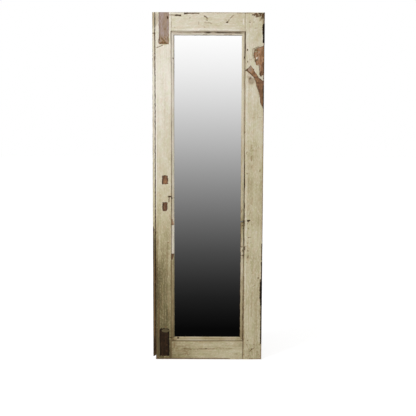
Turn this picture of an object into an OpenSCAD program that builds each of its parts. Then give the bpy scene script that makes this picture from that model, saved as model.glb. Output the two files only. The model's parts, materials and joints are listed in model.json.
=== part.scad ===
// Tall wall mirror made from one old shutter leaf.
// The leaf is drawn standing up, front towards -Y, at x = 0 on its middle,
// then moved so that the origin is midway between its two hanging points, on the wall.

/* [Leaf] */
// Height of the leaf, stile end to stile end
leaf_h = 1780; // [1600:10:2000]
// Thickness of stiles and rails
leaf_t = 35; // [33:1:42]
// Width of the lock stile, on the left
lock_stile_w = 80; // [76:1:100]
// Width of the hinge stile, on the right
hinge_stile_w = 98; // [90:1:120]
// Clear width between the stiles
opening_w = 372; // [300:2:460]
// Height of the top rail
top_rail_h = 93; // [85:1:120]
// Height of the bottom rail
bottom_rail_h = 97; // [85:1:140]

/* [Meeting strip] */
// Width of the strip planted on the lock stile's edge
strip_w = 15; // [12:1:20]
// How far the strip's face lies behind the stile's face
strip_set_back = 3; // [2:0.5:5]
// Width of the sloped quirk where strip and stile meet
quirk_w = 4; // [2:0.5:6]
// Height at which the strip's foot has broken off, beside the stile
strip_foot_z = 11; // [5:1:40]
// Extra height lost at the outer corner of the broken foot
strip_break = 5; // [2:1:20]
// Shank diameter of the strip's nails
strip_nail_d = 3; // [2:0.5:4]
// How deep the strip's nails go into the stile
strip_nail_bite = 22; // [15:1:26]
// Largest distance between the strip's nails
strip_nail_pitch = 260; // [150:10:400]

/* [Corner joints] */
// Thickness of the tenons
tenon_t = 12; // [9:0.5:14]
// Wood left between a tenon and the end of the leaf
tenon_horn = 28; // [20:1:36]
// Shoulder between a tenon and the rail's inner edge
tenon_shoulder = 8; // [4:1:12]
// How deep a haunch goes into the stile
haunch_l = 14; // [8:1:18]
// Thick end of a tenon wedge
wedge_t = 5; // [3:0.5:7]
// Thin end of a tenon wedge
wedge_tip_t = 1; // [0.5:0.5:2]
// Length of a tenon wedge
wedge_l = 42; // [25:1:50]
// Diameter of the drawbore pegs
peg_d = 9; // [6:0.5:11]
// Distance from the shoulder line to the pegs
peg_in = 24; // [21:1:28]
// Distance between the two pegs of a joint
peg_pitch = 32; // [20:1:36]

/* [Glazing bead] */
// Width of the bead
bead_w = 16; // [12:1:20]
// Depth of the bead, face to glass
bead_d = 11; // [9:0.5:13]
// How far the bead's face lies behind the leaf's face
bead_set_back = 2.5; // [1:0.5:4]
// Width of the flat fillet along the bead's outer side
bead_fillet_w = 8; // [5:0.5:9]
// Height of the small step between fillet and round
bead_step = 1; // [0.5:0.5:2]
// Height of the square edge left on the glass
bead_foot = 1.5; // [1:0.5:2.5]
// Gap between the top rail and the top bead
bead_top_gap = 4.5; // [1:0.5:8]
// Gap between the bottom rail and the bottom bead
bead_bottom_gap = 3.5; // [1:0.5:6]
// Open joint between two lengths of bead
splice_gap = 1; // [0.5:0.5:2]
// Top of the patch in the left bead
left_patch_top_z = 706; // [660:2:740]
// Bottom of the patch in the left bead
left_patch_low_z = 557; // [520:2:600]
// Top of the patch in the right bead
right_patch_top_z = 718; // [680:2:750]
// Joint under the patch in the right bead
right_patch_low_z = 592; // [580:1:620]
// Length of the short make-up piece under that joint, half a gap at each end included
right_short_l = 45; // [35:1:80]
// Slope of the cracked end of the right bead, across its width
crack_rise = 7; // [0:1:12]
// Length of the split-off face at the left bead's cut ends
chip_l = 40; // [20:1:60]
// Depth of the split-off face at the left bead's cut ends
chip_d = 4; // [1:0.5:6]
// Diameter of the bead pins
pin_d = 1.6; // [1.2:0.1:2]
// Length of the bead pins
pin_l = 18; // [14:1:20]
// How far a pin is punched in, along its own length
pin_sunk = 1; // [1:0.1:2]
// Distance from a bead's end to its first pin
pin_end = 30; // [20:1:40]
// Largest distance between bead pins
pin_pitch = 230; // [120:10:300]

/* [Mirror] */
// Thickness of the glass
glass_t = 4; // [3:0.5:6]
// Thickness of the silvering and its backing film
backing_t = 0.5; // [0.3:0.1:1]
// Clearance between the glass edge and the wood at the sides and top
glass_gap = 2; // [1:0.5:4]
// Height of the setting blocks under the glass
block_h = 3; // [2:0.5:5]
// Length of a setting block
block_l = 40; // [20:1:80]
// Width of the packing behind the glass
packing_w = 14; // [10:1:20]
// Diameter of the packing nails
packing_nail_d = 2; // [1.5:0.1:2.5]
// How deep the packing nails go into the frame
packing_nail_bite = 14; // [10:1:18]

/* [Back] */
// Thickness of the back board
board_t = 5; // [3:0.5:6]
// How far the back board laps onto the frame
board_lap = 22; // [18:1:28]
// Shank diameter of the back board screws
board_screw_d = 4; // [3:0.5:4.5]
// Length of the back board screws
board_screw_l = 19; // [15:1:20]
// Largest distance between the back board screws
board_screw_pitch = 270; // [200:10:400]
// Distance of the last screws from the corners of the opening
board_screw_end = 60; // [50:1:70]

/* [Hangers] */
// Distance from the top of the leaf to the hanging points
hang_drop = 320; // [250:5:450]
// Thickness of a hanger's strap
strap_t = 1.5; // [1:0.1:2]
// Width of a hanger's strap
strap_w = 20; // [16:1:22]
// Distance from the end of the folded ring to the first strap screw
strap_screw_clear = 6; // [5:0.5:9]
// Distance between the two screws of a strap
strap_screw_pitch = 15; // [12:1:20]
// Wire diameter of a hanging ring
ring_wire_d = 4; // [3:0.5:5]
// Clear width inside a hanging ring
ring_clear_w = 24; // [24:1:26]
// Straight part of a ring's side, between its bends
ring_side_l = 5; // [3:0.5:7]
// Bend radius of the ring's two corners, on the wire's middle
ring_bend_r = 3; // [2.6:0.1:4]
// Clearance between the ring's bar and the rolled eye
eye_clearance = 0.3; // [0.3:0.1:0.5]
// Shank diameter of the strap screws
strap_screw_d = 4; // [3:0.5:4.5]
// Length of the strap screws
strap_screw_l = 18; // [14:1:20]

/* [Bumpers] */
// Distance that the bumpers hold the leaf's back off the wall
standoff = 9; // [9:0.5:14]
// Diameter of a bumper
bumper_d = 24; // [18:1:30]
// Height of the bumpers' middle above the leaf's bottom end
bumper_z = 40; // [30:1:60]

/* [Old hinge leaves] */
// Thickness of the iron leaves
iron_t = 2; // [1.5:0.5:3]
// Width of a leaf's return on the front face
iron_front_w = 9; // [8:0.5:12]
// Depth of a leaf on the stile's edge
iron_edge_w = 24; // [20:1:28]
// Length of the upper leaf
upper_leaf_l = 95; // [60:1:100]
// Distance from the top of the stile to the upper leaf
upper_leaf_drop = 56; // [50:1:58]
// Length of the lower leaf
lower_leaf_l = 125; // [80:1:160]
// Height of the lower leaf above the stile's bottom end
lower_leaf_z = 288; // [200:2:400]
// Shank diameter of the leaf screws
leaf_screw_d = 3.5; // [3:0.5:4]
// Length of the leaf screws
leaf_screw_l = 20; // [15:1:24]
// Distance from a leaf's end to its first screw
leaf_screw_end = 9; // [7:0.5:11]

/* [Housings in the lock stile] */
// Distance from the stile's inner edge to the middle of the bolts' housings
housing_in = 36; // [33:1:42]
// Distance from the stile's inner edge to the middle of the latch and key plates' housings
plate_in = 32; // [28:1:42]
// Width of the top bolt's housing
top_housing_w = 51; // [40:1:56]
// Length of the top bolt's housing
top_housing_l = 157; // [120:1:200]
// Depth of the top bolt's housing
top_housing_d = 3; // [2:0.5:5]
// Radius of the bottom bolt housing's two upper corners
housing_corner_r = 9; // [4:1:16]
// Width of the bottom bolt's housing
bottom_housing_w = 50; // [40:1:54]
// Length of the bottom bolt's housing
bottom_housing_l = 145; // [120:1:180]
// Depth of the bottom bolt's housing
bottom_housing_d = 5; // [2:0.5:6]
// Distance from the bottom of the stile to that housing
bottom_housing_z = 18; // [10:1:30]
// Width of the latch plate's housing
latch_w = 28; // [20:1:32]
// Length of the latch plate's housing
latch_l = 43; // [30:1:60]
// Height of the latch plate's housing above the stile's bottom end
latch_z = 918; // [890:2:1000]
// Width of the key plate's housing
key_w = 26; // [20:1:32]
// Length of the key plate's housing, its round foot included
key_l = 46; // [35:1:60]
// Height of the key plate's housing above the stile's bottom end
key_z = 777; // [740:2:800]
// Depth of the latch and key plates' housings
plate_housing_d = 4; // [2:0.5:6]

/* [Broken-out wood on the hinge stile] */
// Depth of the upper break
upper_break_d = 3; // [1:0.5:5]
// Depth of the lower break
lower_break_d = 2.5; // [1:0.5:5]

/* [Hidden] */

// Colours of the finishes
old_paint = "#d8d1b9";
patch_paint = "#e8e3d4";
bare_wood = "#8f7559";
end_grain = "#7a6046";
rusty_iron = "#3a3029";
zinc = "#a9abad";
silver = "#cfd3d6";
grey_backing = "#5f6468";
board_brown = "#8a6a48";
rubber_black = "#242424";

// How far a cut runs past the face that it opens
past = 1;

// Places across the leaf
leaf_w = strip_w + lock_stile_w + opening_w + hinge_stile_w;
strip_x = -leaf_w / 2;
lock_x = strip_x + strip_w;
open_left_x = lock_x + lock_stile_w;
open_right_x = open_left_x + opening_w;
hinge_x = open_right_x + hinge_stile_w;

// Places up the leaf
open_low_z = bottom_rail_h;
open_top_z = leaf_h - top_rail_h;
bead_low_z = open_low_z + bead_bottom_gap;
bead_top_z = open_top_z - bead_top_gap;
right_short_low_z = right_patch_low_z - right_short_l;
hang_z = leaf_h - hang_drop;

// Places through the leaf, from its front face
glass_y = bead_set_back + bead_d;
backing_y = glass_y + glass_t;
packing_y = backing_y + backing_t;
packing_d = leaf_t - packing_y;
tenon_y = (leaf_t - tenon_t) / 2;

// Tenon heights
bottom_tenon_h = bottom_rail_h - tenon_horn - tenon_shoulder;
top_tenon_h = top_rail_h - tenon_horn - tenon_shoulder;
bottom_tenon_z = tenon_horn;
top_tenon_z = leaf_h - tenon_horn - top_tenon_h;

// Ring and strap
ring_wire_r = ring_wire_d / 2;
ring_half_w = ring_clear_w / 2 + ring_wire_r;
ring_arc_l = ring_bend_r + ring_side_l;
eye_r = ring_wire_r + eye_clearance + strap_t;
ring_l = ring_arc_l + ring_half_w + ring_wire_r;
strap_screw_in = ring_l + strap_screw_clear;
ring_bar_z = hang_z - ring_arc_l - ring_half_w + ring_wire_r;
strap_l = strap_screw_in + strap_screw_pitch + strap_w / 2;
hanger_x = (lock_stile_w - board_lap) / 2 + board_lap - open_left_x;

// Evenly spaced places from a to b, both included, no further apart than pitch
function spread(a, b, pitch) =
  let (n = max(1, ceil((b - a) / pitch)))
  [for (i = [0 : n]) a + (b - a) * i / n];

// Places midway between those of a list
function midway(list) = [for (i = [1 : len(list) - 1]) (list[i - 1] + list[i]) / 2];

// Pin places along one length of bead: one in the middle of a short length
function pin_places(a, b) =
  b - a < 3 * pin_end ? [(a + b) / 2] : spread(a + pin_end, b - pin_end, pin_pitch);

board_screw_zs = spread(open_low_z + board_screw_end, open_top_z - board_screw_end, board_screw_pitch);
board_screw_xs = spread(open_left_x + board_screw_end, open_right_x - board_screw_end, board_screw_pitch);
strip_nail_zs = spread(open_low_z + board_screw_end, open_top_z - board_screw_end, strip_nail_pitch);

// The whole drawing, moved to the hanging points on the wall
module in_place() {
  translate([0, -(leaf_t + standoff), -hang_z]) children();
}

// A box between two corners
module block(low, high) {
  translate(low) cube(high - low);
}

// ---- Fasteners ----

// Slotted screw driven along -Z from z = 0, with a countersunk or a domed head
module wood_screw(d, l, flush) {
  head_r = d * 0.95;
  head_h = d * 0.5;
  slot_w = d * 0.25;
  point_l = d * 1.2;
  difference() {
    rotate_extrude($fn = 32)
      polygon(flush
        ? [[0, -l], [d / 2, -l + point_l], [d / 2, -head_r + d / 2], [head_r, 0], [0, 0]]
        : [[0, -l], [d / 2, -l + point_l], [d / 2, 0], [head_r, 0], [head_r, head_h * 0.4],
           [head_r * 0.6, head_h], [0, head_h]]);
    slot_top = flush ? 0 : head_h;
    translate([-head_r - past, -slot_w / 2, slot_top - slot_w])
      cube([2 * (head_r + past), slot_w, slot_w + past]);
  }
}

// The hole that a screw makes
module screw_hole(d, l, flush) {
  head_r = d * 0.95;
  point_l = d * 1.2;
  rotate_extrude($fn = 32)
    polygon(flush
      ? [[0, -l], [d / 2, -l + point_l], [d / 2, -head_r + d / 2], [head_r, 0], [head_r, past], [0, past]]
      : [[0, -l], [d / 2, -l + point_l], [d / 2, past], [0, past]]);
}

// Screws (or their holes) of the back board, on the stiles and on the rails
module at_board_screws(on_stiles, on_rails) {
  if (on_stiles)
    for (z = board_screw_zs, x = [open_left_x - board_lap / 2, open_right_x + board_lap / 2])
      translate([x, leaf_t + board_t, z]) rotate([-90, 0, 0]) children();
  if (on_rails)
    for (x = board_screw_xs, z = [open_low_z - board_lap / 2, open_top_z + board_lap / 2])
      translate([x, leaf_t + board_t, z]) rotate([-90, 0, 0]) children();
}

// Screws (or their holes) of one hanger strap
module at_strap_screws(side) {
  for (i = [0, 1])
    translate([side * hanger_x, leaf_t + strap_t, ring_bar_z - strap_screw_in - i * strap_screw_pitch])
      rotate([-90, 0, 0]) children();
}

// Screws (or their holes) of the two iron hinge leaves, in the front cheek of the stile
module at_leaf_screws() {
  cheek_y = (tenon_y + iron_t) / 2;
  upper_z = leaf_h - upper_leaf_drop - upper_leaf_l;
  upper_zs = spread(upper_z + leaf_screw_end, upper_z + upper_leaf_l - leaf_screw_end,
                    upper_leaf_l / 2);
  lower_zs = spread(lower_leaf_z + leaf_screw_end, lower_leaf_z + lower_leaf_l - leaf_screw_end,
                    lower_leaf_l / 2);
  for (z = concat(upper_zs, lower_zs))
    translate([hinge_x, cheek_y, z]) rotate([0, 90, 0]) children();
}

// Flat-headed nails of the meeting strip, driven along +X, their heads flush
module strip_nail_shapes(extra) {
  head_r = strip_nail_d;
  head_t = 1;
  for (z = strip_nail_zs)
    translate([strip_x - extra, (strip_set_back + leaf_t) / 2, z]) rotate([0, 90, 0]) {
      cylinder(h = head_t + extra, r = head_r, $fn = 24);
      cylinder(h = strip_w + strip_nail_bite + extra, d = strip_nail_d, $fn = 24);
    }
}

// Drawbore pegs of the four corner joints
module peg_shapes() {
  xs = [open_left_x - peg_in, open_right_x + peg_in];
  middles = [bottom_tenon_z + bottom_tenon_h / 2, top_tenon_z + top_tenon_h / 2];
  for (x = xs, m = middles, s = [-1, 1])
    translate([x, 0, m + s * peg_pitch / 2]) rotate([-90, 0, 0])
      cylinder(h = leaf_t, d = peg_d, $fn = 32);
}

// One pin through a side bead's fillet into the stile, skewed at 45 degrees.
// It is drawn for the left bead, its corner at x = 0, y = 0.
module skew_pin(extra) {
  translate([bead_fillet_w / 2, 0, 0]) rotate([0, 0, 45]) rotate([-90, 0, 0])
    translate([0, 0, pin_sunk - extra]) cylinder(h = pin_l + extra, d = pin_d, $fn = 16);
}

// Pins of every length of bead
module pin_shapes(extra) {
  for (span = [[bead_low_z, left_patch_low_z], [left_patch_low_z, left_patch_top_z],
               [left_patch_top_z, bead_top_z]],
       z = pin_places(span[0], span[1]))
    at_left_bead() translate([0, 0, z]) skew_pin(extra);
  for (span = [[bead_low_z, right_short_low_z], [right_short_low_z, right_patch_low_z],
               [right_patch_low_z, right_patch_top_z], [right_patch_top_z, bead_top_z]],
       z = pin_places(span[0], span[1]))
    at_right_bead() translate([0, 0, z]) skew_pin(extra);
  for (x = pin_places(open_left_x, open_right_x)) {
    at_top_bead() translate([0, 0, x]) skew_pin(extra);
    at_bottom_bead() translate([0, 0, -x]) skew_pin(extra);
  }
}

// Nails through the packing, midway between the back board screws
module packing_nail_shapes() {
  nail_l = packing_w + packing_nail_bite;
  y = packing_y + packing_d / 2;
  for (z = midway(board_screw_zs)) {
    translate([open_left_x - packing_nail_bite, y, z]) rotate([0, 90, 0])
      cylinder(h = nail_l, d = packing_nail_d, $fn = 16);
    translate([open_right_x - packing_w, y, z]) rotate([0, 90, 0])
      cylinder(h = nail_l, d = packing_nail_d, $fn = 16);
  }
  for (x = midway(board_screw_xs)) {
    translate([x, y, open_low_z - packing_nail_bite]) cylinder(h = nail_l, d = packing_nail_d, $fn = 16);
    translate([x, y, open_top_z - packing_w]) cylinder(h = nail_l, d = packing_nail_d, $fn = 16);
  }
}

// ---- Frame joints ----

// One joint, drawn for a tenon that runs along +X from the shoulder at x = 0 through
// a stile of width w. The leaf's end is at z = 0, with the tenon above its horn.
module tenon(w, h) {
  block([-past, tenon_y, tenon_horn], [w, tenon_y + tenon_t, tenon_horn + h]);
  block([-past, tenon_y, 0], [haunch_l, tenon_y + tenon_t, tenon_horn + h]);
}

// Outline of one wedge in X and Z, thick end outwards at x = w, flat side on the tenon
module wedge_outline(w) {
  polygon([[w - wedge_l, 0], [w, 0], [w, wedge_t], [w - wedge_l, wedge_tip_t]]);
}

// The two wedges of a joint, above and below its tenon
module wedge_pair(w, h) {
  translate([0, tenon_y + tenon_t, tenon_horn + h]) rotate([90, 0, 0])
    linear_extrude(tenon_t) wedge_outline(w);
  translate([0, tenon_y + tenon_t, tenon_horn]) mirror([0, 0, 1]) rotate([90, 0, 0])
    linear_extrude(tenon_t) wedge_outline(w);
}

// The mortise: tenon, haunch and wedges together, open at both sides
module mortise(w, h) {
  tenon(w + past, h);
  wedge_pair(w, h);
}

// Puts a joint's drawing at one of the four corners
module at_corner(right, top) {
  translate([right ? open_right_x : open_left_x, 0, top ? leaf_h : 0])
    mirror([right ? 0 : 1, 0, 0]) mirror([0, 0, top ? 1 : 0]) children();
}

// The space of one iron hinge leaf: a plate on the stile's edge with a return on its face
module iron_leaf_space(z, l, extra) {
  block([hinge_x - iron_front_w, -extra, z], [hinge_x + extra, iron_t, z + l]);
  block([hinge_x - iron_t, 0, z], [hinge_x + extra, iron_edge_w, z + l]);
}

module upper_leaf_space(extra) {
  iron_leaf_space(leaf_h - upper_leaf_drop - upper_leaf_l, upper_leaf_l, extra);
}

// ---- Old work on the stiles ----

// Shallow housings where the bolts, the latch and the key plate were let in
module lock_housings() {
  translate([open_left_x - housing_in, 0, 0]) rotate([90, 0, 0]) mirror([0, 0, 1]) translate([0, 0, -past]) {
    linear_extrude(top_housing_d + past)
      translate([-top_housing_w / 2, leaf_h - top_housing_l])
        square([top_housing_w, top_housing_l + past]);
    linear_extrude(bottom_housing_d + past) {
      corner_x = bottom_housing_w / 2 - housing_corner_r;
      corner_z = bottom_housing_z + bottom_housing_l - housing_corner_r;
      translate([-bottom_housing_w / 2, bottom_housing_z])
        square([bottom_housing_w, bottom_housing_l - housing_corner_r]);
      translate([-corner_x, bottom_housing_z]) square([2 * corner_x, bottom_housing_l]);
      for (s = [-1, 1]) translate([s * corner_x, corner_z]) circle(housing_corner_r, $fn = 32);
    }
  }
  translate([open_left_x - plate_in, 0, 0]) rotate([90, 0, 0]) mirror([0, 0, 1])
    translate([0, 0, -past]) linear_extrude(plate_housing_d + past) {
      translate([-latch_w / 2, latch_z]) square([latch_w, latch_l]);
      translate([-key_w / 2, key_z + key_w / 2]) square([key_w, key_l - key_w / 2]);
      translate([0, key_z + key_w / 2]) circle(key_w / 2, $fn = 32);
    }
}

// Two breaks in the hinge stile where wood has split away at the edge.
// Their points run from the stile's outer edge and down from its top.
module edge_breaks() {
  upper = [[past, -160], [-5, -166], [-51, -182], [-55, -210], [-41, -259], [-28, -261],
           [-22, -315], [-10, -318], [past, -341]];
  lower = [[past, -346], [-27, -325], [-69, -263], [-92, -286], [-50, -323], [-35, -371],
           [-22, -410], [-16, -453], [past, -480]];
  translate([hinge_x, 0, leaf_h]) rotate([90, 0, 0]) mirror([0, 0, 1]) translate([0, 0, -past]) {
    linear_extrude(upper_break_d + past) polygon(upper);
    linear_extrude(lower_break_d + past) polygon(lower);
  }
}

// ---- Wooden frame ----

module lock_stile() {
  arris = 2;
  color(old_paint) in_place() difference() {
    linear_extrude(leaf_h)
      polygon([[lock_x, arris], [lock_x + arris, 0], [open_left_x, 0],
               [open_left_x, leaf_t], [lock_x, leaf_t]]);
    at_corner(false, false) mortise(lock_stile_w, bottom_tenon_h);
    at_corner(false, true) mortise(lock_stile_w, top_tenon_h);
    lock_housings();
    peg_shapes();
    strip_nail_shapes(0);
    pin_shapes(0);
    packing_nail_shapes();
    at_board_screws(true, false) screw_hole(board_screw_d, board_screw_l, true);
    at_strap_screws(-1) screw_hole(strap_screw_d, strap_screw_l, false);
  }
}

module hinge_stile() {
  color(old_paint) in_place() difference() {
    block([open_right_x, 0, 0], [hinge_x, leaf_t, leaf_h]);
    at_corner(true, false) mortise(hinge_stile_w, bottom_tenon_h);
    at_corner(true, true) mortise(hinge_stile_w, top_tenon_h);
    edge_breaks();
    upper_leaf_space(past);
    iron_leaf_space(lower_leaf_z, lower_leaf_l, past);
    peg_shapes();
    pin_shapes(0);
    packing_nail_shapes();
    at_board_screws(true, false) screw_hole(board_screw_d, board_screw_l, true);
    at_strap_screws(1) screw_hole(strap_screw_d, strap_screw_l, false);
    at_leaf_screws() screw_hole(leaf_screw_d, leaf_screw_l, true);
  }
}

// A rail with its two tenons, less all that passes through it
module rail(top, h, tenon_h) {
  low_z = top ? leaf_h - h : 0;
  difference() {
    union() {
      block([open_left_x, 0, low_z], [open_right_x, leaf_t, low_z + h]);
      at_corner(false, top) tenon(lock_stile_w, tenon_h);
      at_corner(true, top) tenon(hinge_stile_w, tenon_h);
    }
    peg_shapes();
    pin_shapes(0);
    packing_nail_shapes();
    at_board_screws(false, true) screw_hole(board_screw_d, board_screw_l, true);
  }
}

module top_rail() {
  color(old_paint) in_place() difference() {
    rail(true, top_rail_h, top_tenon_h);
    upper_leaf_space(past);
  }
}

module bottom_rail() {
  color(old_paint) in_place() rail(false, bottom_rail_h, bottom_tenon_h);
}

// Planted strip with a sloped quirk beside the stile and a rounded outer arris
module meeting_strip() {
  round_r = 3;
  color(old_paint) in_place() difference() {
    linear_extrude(leaf_h) {
      polygon([[strip_x + round_r, strip_set_back], [lock_x - quirk_w, strip_set_back],
               [lock_x, strip_set_back + quirk_w], [lock_x, leaf_t], [strip_x, leaf_t],
               [strip_x, strip_set_back + round_r]]);
      translate([strip_x + round_r, strip_set_back + round_r]) circle(round_r, $fn = 32);
    }
    translate([0, -past, 0]) rotate([90, 0, 0]) mirror([0, 0, 1])
      linear_extrude(leaf_t + 2 * past)
        polygon([[strip_x - past, -past], [lock_x + past, -past],
                 [lock_x + past, strip_foot_z], [strip_x - past, strip_foot_z + strip_break]]);
    strip_nail_shapes(past);
  }
}

module strip_nails() {
  color(rusty_iron) in_place() strip_nail_shapes(0);
}

module joint_pegs() {
  color(old_paint) in_place() difference() {
    peg_shapes();
    lock_housings();
  }
}

module tenon_wedges() {
  color(end_grain) in_place() difference() {
    for (top = [false, true]) {
      h = top ? top_tenon_h : bottom_tenon_h;
      at_corner(false, top) wedge_pair(lock_stile_w, h);
      at_corner(true, top) wedge_pair(hinge_stile_w, h);
    }
    upper_leaf_space(past);
  }
}

// ---- Glazing bead ----

// Section of the bead: a flat fillet along the frame, a small step, then a round to the glass
module bead_section() {
  round_r = min(bead_w - bead_fillet_w, bead_d - bead_step - bead_foot);
  square([bead_fillet_w, bead_d]);
  translate([0, bead_step]) square([bead_w - round_r, bead_d - bead_step]);
  translate([0, bead_step + round_r]) square([bead_w, bead_d - bead_step - round_r]);
  translate([bead_w - round_r, bead_step + round_r]) intersection() {
    circle(round_r, $fn = 64);
    translate([0, -round_r]) square(round_r);
  }
}

// One length of bead along +Z, its outer side on x = 0. Each end is cut from
// one height at the outer side to another at the sight edge.
module bead_length(low_outer, low_inner, high_inner, high_outer) {
  intersection() {
    translate([0, 0, low_outer]) linear_extrude(high_outer - low_outer) bead_section();
    translate([0, bead_d + past, 0]) rotate([90, 0, 0]) linear_extrude(bead_d + 2 * past)
      polygon([[0, low_outer], [bead_w, low_inner], [bead_w, high_inner], [0, high_outer]]);
  }
}

// Where each side's bead is drawn: its outer side lies on the frame, or on its gap
module at_left_bead() {
  translate([open_left_x, bead_set_back, 0]) children();
}

module at_right_bead() {
  translate([open_right_x, bead_set_back, 0]) mirror([1, 0, 0]) children();
}

module at_top_bead() {
  translate([0, bead_set_back, bead_top_z]) rotate([0, 90, 0]) children();
}

module at_bottom_bead() {
  translate([0, bead_set_back, bead_low_z]) rotate([0, -90, 0]) children();
}

// Splintered face at a cut end of the left bead, deepest at z = 0 and running out upwards
module bead_chip() {
  translate([-past, 0, 0]) rotate([90, 0, 90]) linear_extrude(bead_w + 2 * past)
    polygon([[-past, -past], [chip_d, -past], [chip_d, 0], [0, chip_l], [-past, chip_l]]);
}

module bead_top() {
  color(old_paint) in_place() difference() {
    at_top_bead()
      bead_length(open_left_x, open_left_x + bead_w, open_right_x - bead_w, open_right_x);
    pin_shapes(past * 3);
  }
}

module bead_bottom() {
  color(old_paint) in_place() difference() {
    at_bottom_bead()
      bead_length(-open_right_x, -open_right_x + bead_w, -open_left_x - bead_w, -open_left_x);
    pin_shapes(past * 3);
  }
}

module bead_left_upper() {
  low = left_patch_top_z + splice_gap / 2;
  color(old_paint) in_place() difference() {
    at_left_bead() difference() {
      bead_length(low, low, bead_top_z - bead_w, bead_top_z);
      translate([0, 0, low]) bead_chip();
    }
    pin_shapes(past * 3);
  }
}

module bead_left_patch() {
  low = left_patch_low_z + splice_gap / 2;
  high = left_patch_top_z - splice_gap / 2;
  color(patch_paint) in_place() difference() {
    at_left_bead() bead_length(low, low, high, high);
    pin_shapes(past * 3);
  }
}

module bead_left_lower() {
  high = left_patch_low_z - splice_gap / 2;
  color(old_paint) in_place() difference() {
    at_left_bead() difference() {
      bead_length(bead_low_z, bead_low_z + bead_w, high, high);
      translate([0, 0, high]) mirror([0, 0, 1]) bead_chip();
    }
    pin_shapes(past * 3);
  }
}

module bead_right_upper() {
  low = right_patch_top_z + splice_gap / 2;
  color(old_paint) in_place() difference() {
    at_right_bead() bead_length(low + crack_rise, low, bead_top_z - bead_w, bead_top_z);
    pin_shapes(past * 3);
  }
}

module bead_right_patch() {
  low = right_patch_low_z + splice_gap / 2;
  high = right_patch_top_z - splice_gap / 2;
  color(old_paint) in_place() difference() {
    at_right_bead() bead_length(low, low, high, high + crack_rise);
    pin_shapes(past * 3);
  }
}

module bead_right_short() {
  low = right_short_low_z + splice_gap / 2;
  high = right_patch_low_z - splice_gap / 2;
  color(old_paint) in_place() difference() {
    at_right_bead() bead_length(low, low, high, high);
    pin_shapes(past * 3);
  }
}

module bead_right_lower() {
  high = right_short_low_z - splice_gap / 2;
  color(old_paint) in_place() difference() {
    at_right_bead() bead_length(bead_low_z, bead_low_z + bead_w, high, high);
    pin_shapes(past * 3);
  }
}

module bead_pins() {
  color(rusty_iron) in_place() pin_shapes(0);
}

// ---- Mirror ----

// A sheet the size of the glass, between two depths
module glass_sheet(low_y, high_y) {
  block([open_left_x + glass_gap, low_y, open_low_z + block_h],
        [open_right_x - glass_gap, high_y, open_top_z - glass_gap]);
}

module mirror_glass() {
  color(silver) in_place() glass_sheet(glass_y, backing_y);
}

module mirror_backing() {
  color(grey_backing) in_place() glass_sheet(backing_y, packing_y);
}

// Two blocks at the quarter points carry the glass
module setting_blocks() {
  color(rubber_black) in_place()
    for (share = [0.25, 0.75])
      translate([open_left_x + opening_w * share, 0, open_low_z])
        block([-block_l / 2, glass_y, 0], [block_l / 2, packing_y, block_h]);
}

// Packing in the opening behind the glass
module packing(low, high) {
  difference() {
    block([low[0], packing_y, low[1]], [high[0], leaf_t, high[1]]);
    packing_nail_shapes();
  }
}

module packing_left() {
  color(bare_wood) in_place()
    packing([open_left_x, open_low_z], [open_left_x + packing_w, open_top_z]);
}

module packing_right() {
  color(bare_wood) in_place()
    packing([open_right_x - packing_w, open_low_z], [open_right_x, open_top_z]);
}

module packing_top() {
  color(bare_wood) in_place()
    packing([open_left_x + packing_w, open_top_z - packing_w], [open_right_x - packing_w, open_top_z]);
}

module packing_bottom() {
  color(bare_wood) in_place()
    packing([open_left_x + packing_w, open_low_z], [open_right_x - packing_w, open_low_z + packing_w]);
}

module packing_nails() {
  color(rusty_iron) in_place() packing_nail_shapes();
}

// ---- Back ----

module back_board() {
  color(board_brown) in_place() difference() {
    block([open_left_x - board_lap, leaf_t, open_low_z - board_lap],
          [open_right_x + board_lap, leaf_t + board_t, open_top_z + board_lap]);
    at_board_screws(true, true) screw_hole(board_screw_d, board_screw_l, true);
  }
}

module back_board_screws() {
  color(zinc) in_place() at_board_screws(true, true) wood_screw(board_screw_d, board_screw_l, true);
}

// Strap with a round end, rolled at its top into an eye for the ring's bar
module hanger_strap(side) {
  eye_slit = 0.8;
  color(zinc) in_place() difference() {
    union() {
      translate([side * hanger_x, leaf_t + strap_t, ring_bar_z]) rotate([90, 0, 0])
        linear_extrude(strap_t) {
          translate([-strap_w / 2, -strap_l + strap_w / 2]) square([strap_w, strap_l - strap_w / 2]);
          translate([0, -strap_l + strap_w / 2]) circle(d = strap_w, $fn = 48);
        }
      translate([side * hanger_x - strap_w / 2, leaf_t + eye_r, ring_bar_z]) rotate([0, 90, 0])
        cylinder(h = strap_w, r = eye_r, $fn = 48);
    }
    translate([side * hanger_x - strap_w / 2 - past, leaf_t + eye_r, ring_bar_z]) rotate([0, 90, 0])
      cylinder(h = strap_w + 2 * past, r = eye_r - strap_t, $fn = 48);
    block([side * hanger_x - strap_w / 2 - past, leaf_t + strap_t, ring_bar_z - eye_r - past],
          [side * hanger_x + strap_w / 2 + past, leaf_t + strap_t + eye_slit, ring_bar_z]);
    at_strap_screws(side) screw_hole(strap_screw_d, strap_screw_l, false);
  }
}

module hanger_strap_left() {
  hanger_strap(-1);
}

module hanger_strap_right() {
  hanger_strap(1);
}

// A quarter or half bend of the ring's wire, in the plane of the ring
module wire_bend(r, from, sweep) {
  rotate([90, 0, 0]) rotate([0, 0, from])
    rotate_extrude(angle = sweep, $fn = 96) translate([r, 0]) circle(ring_wire_r, $fn = 32);
}

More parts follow.
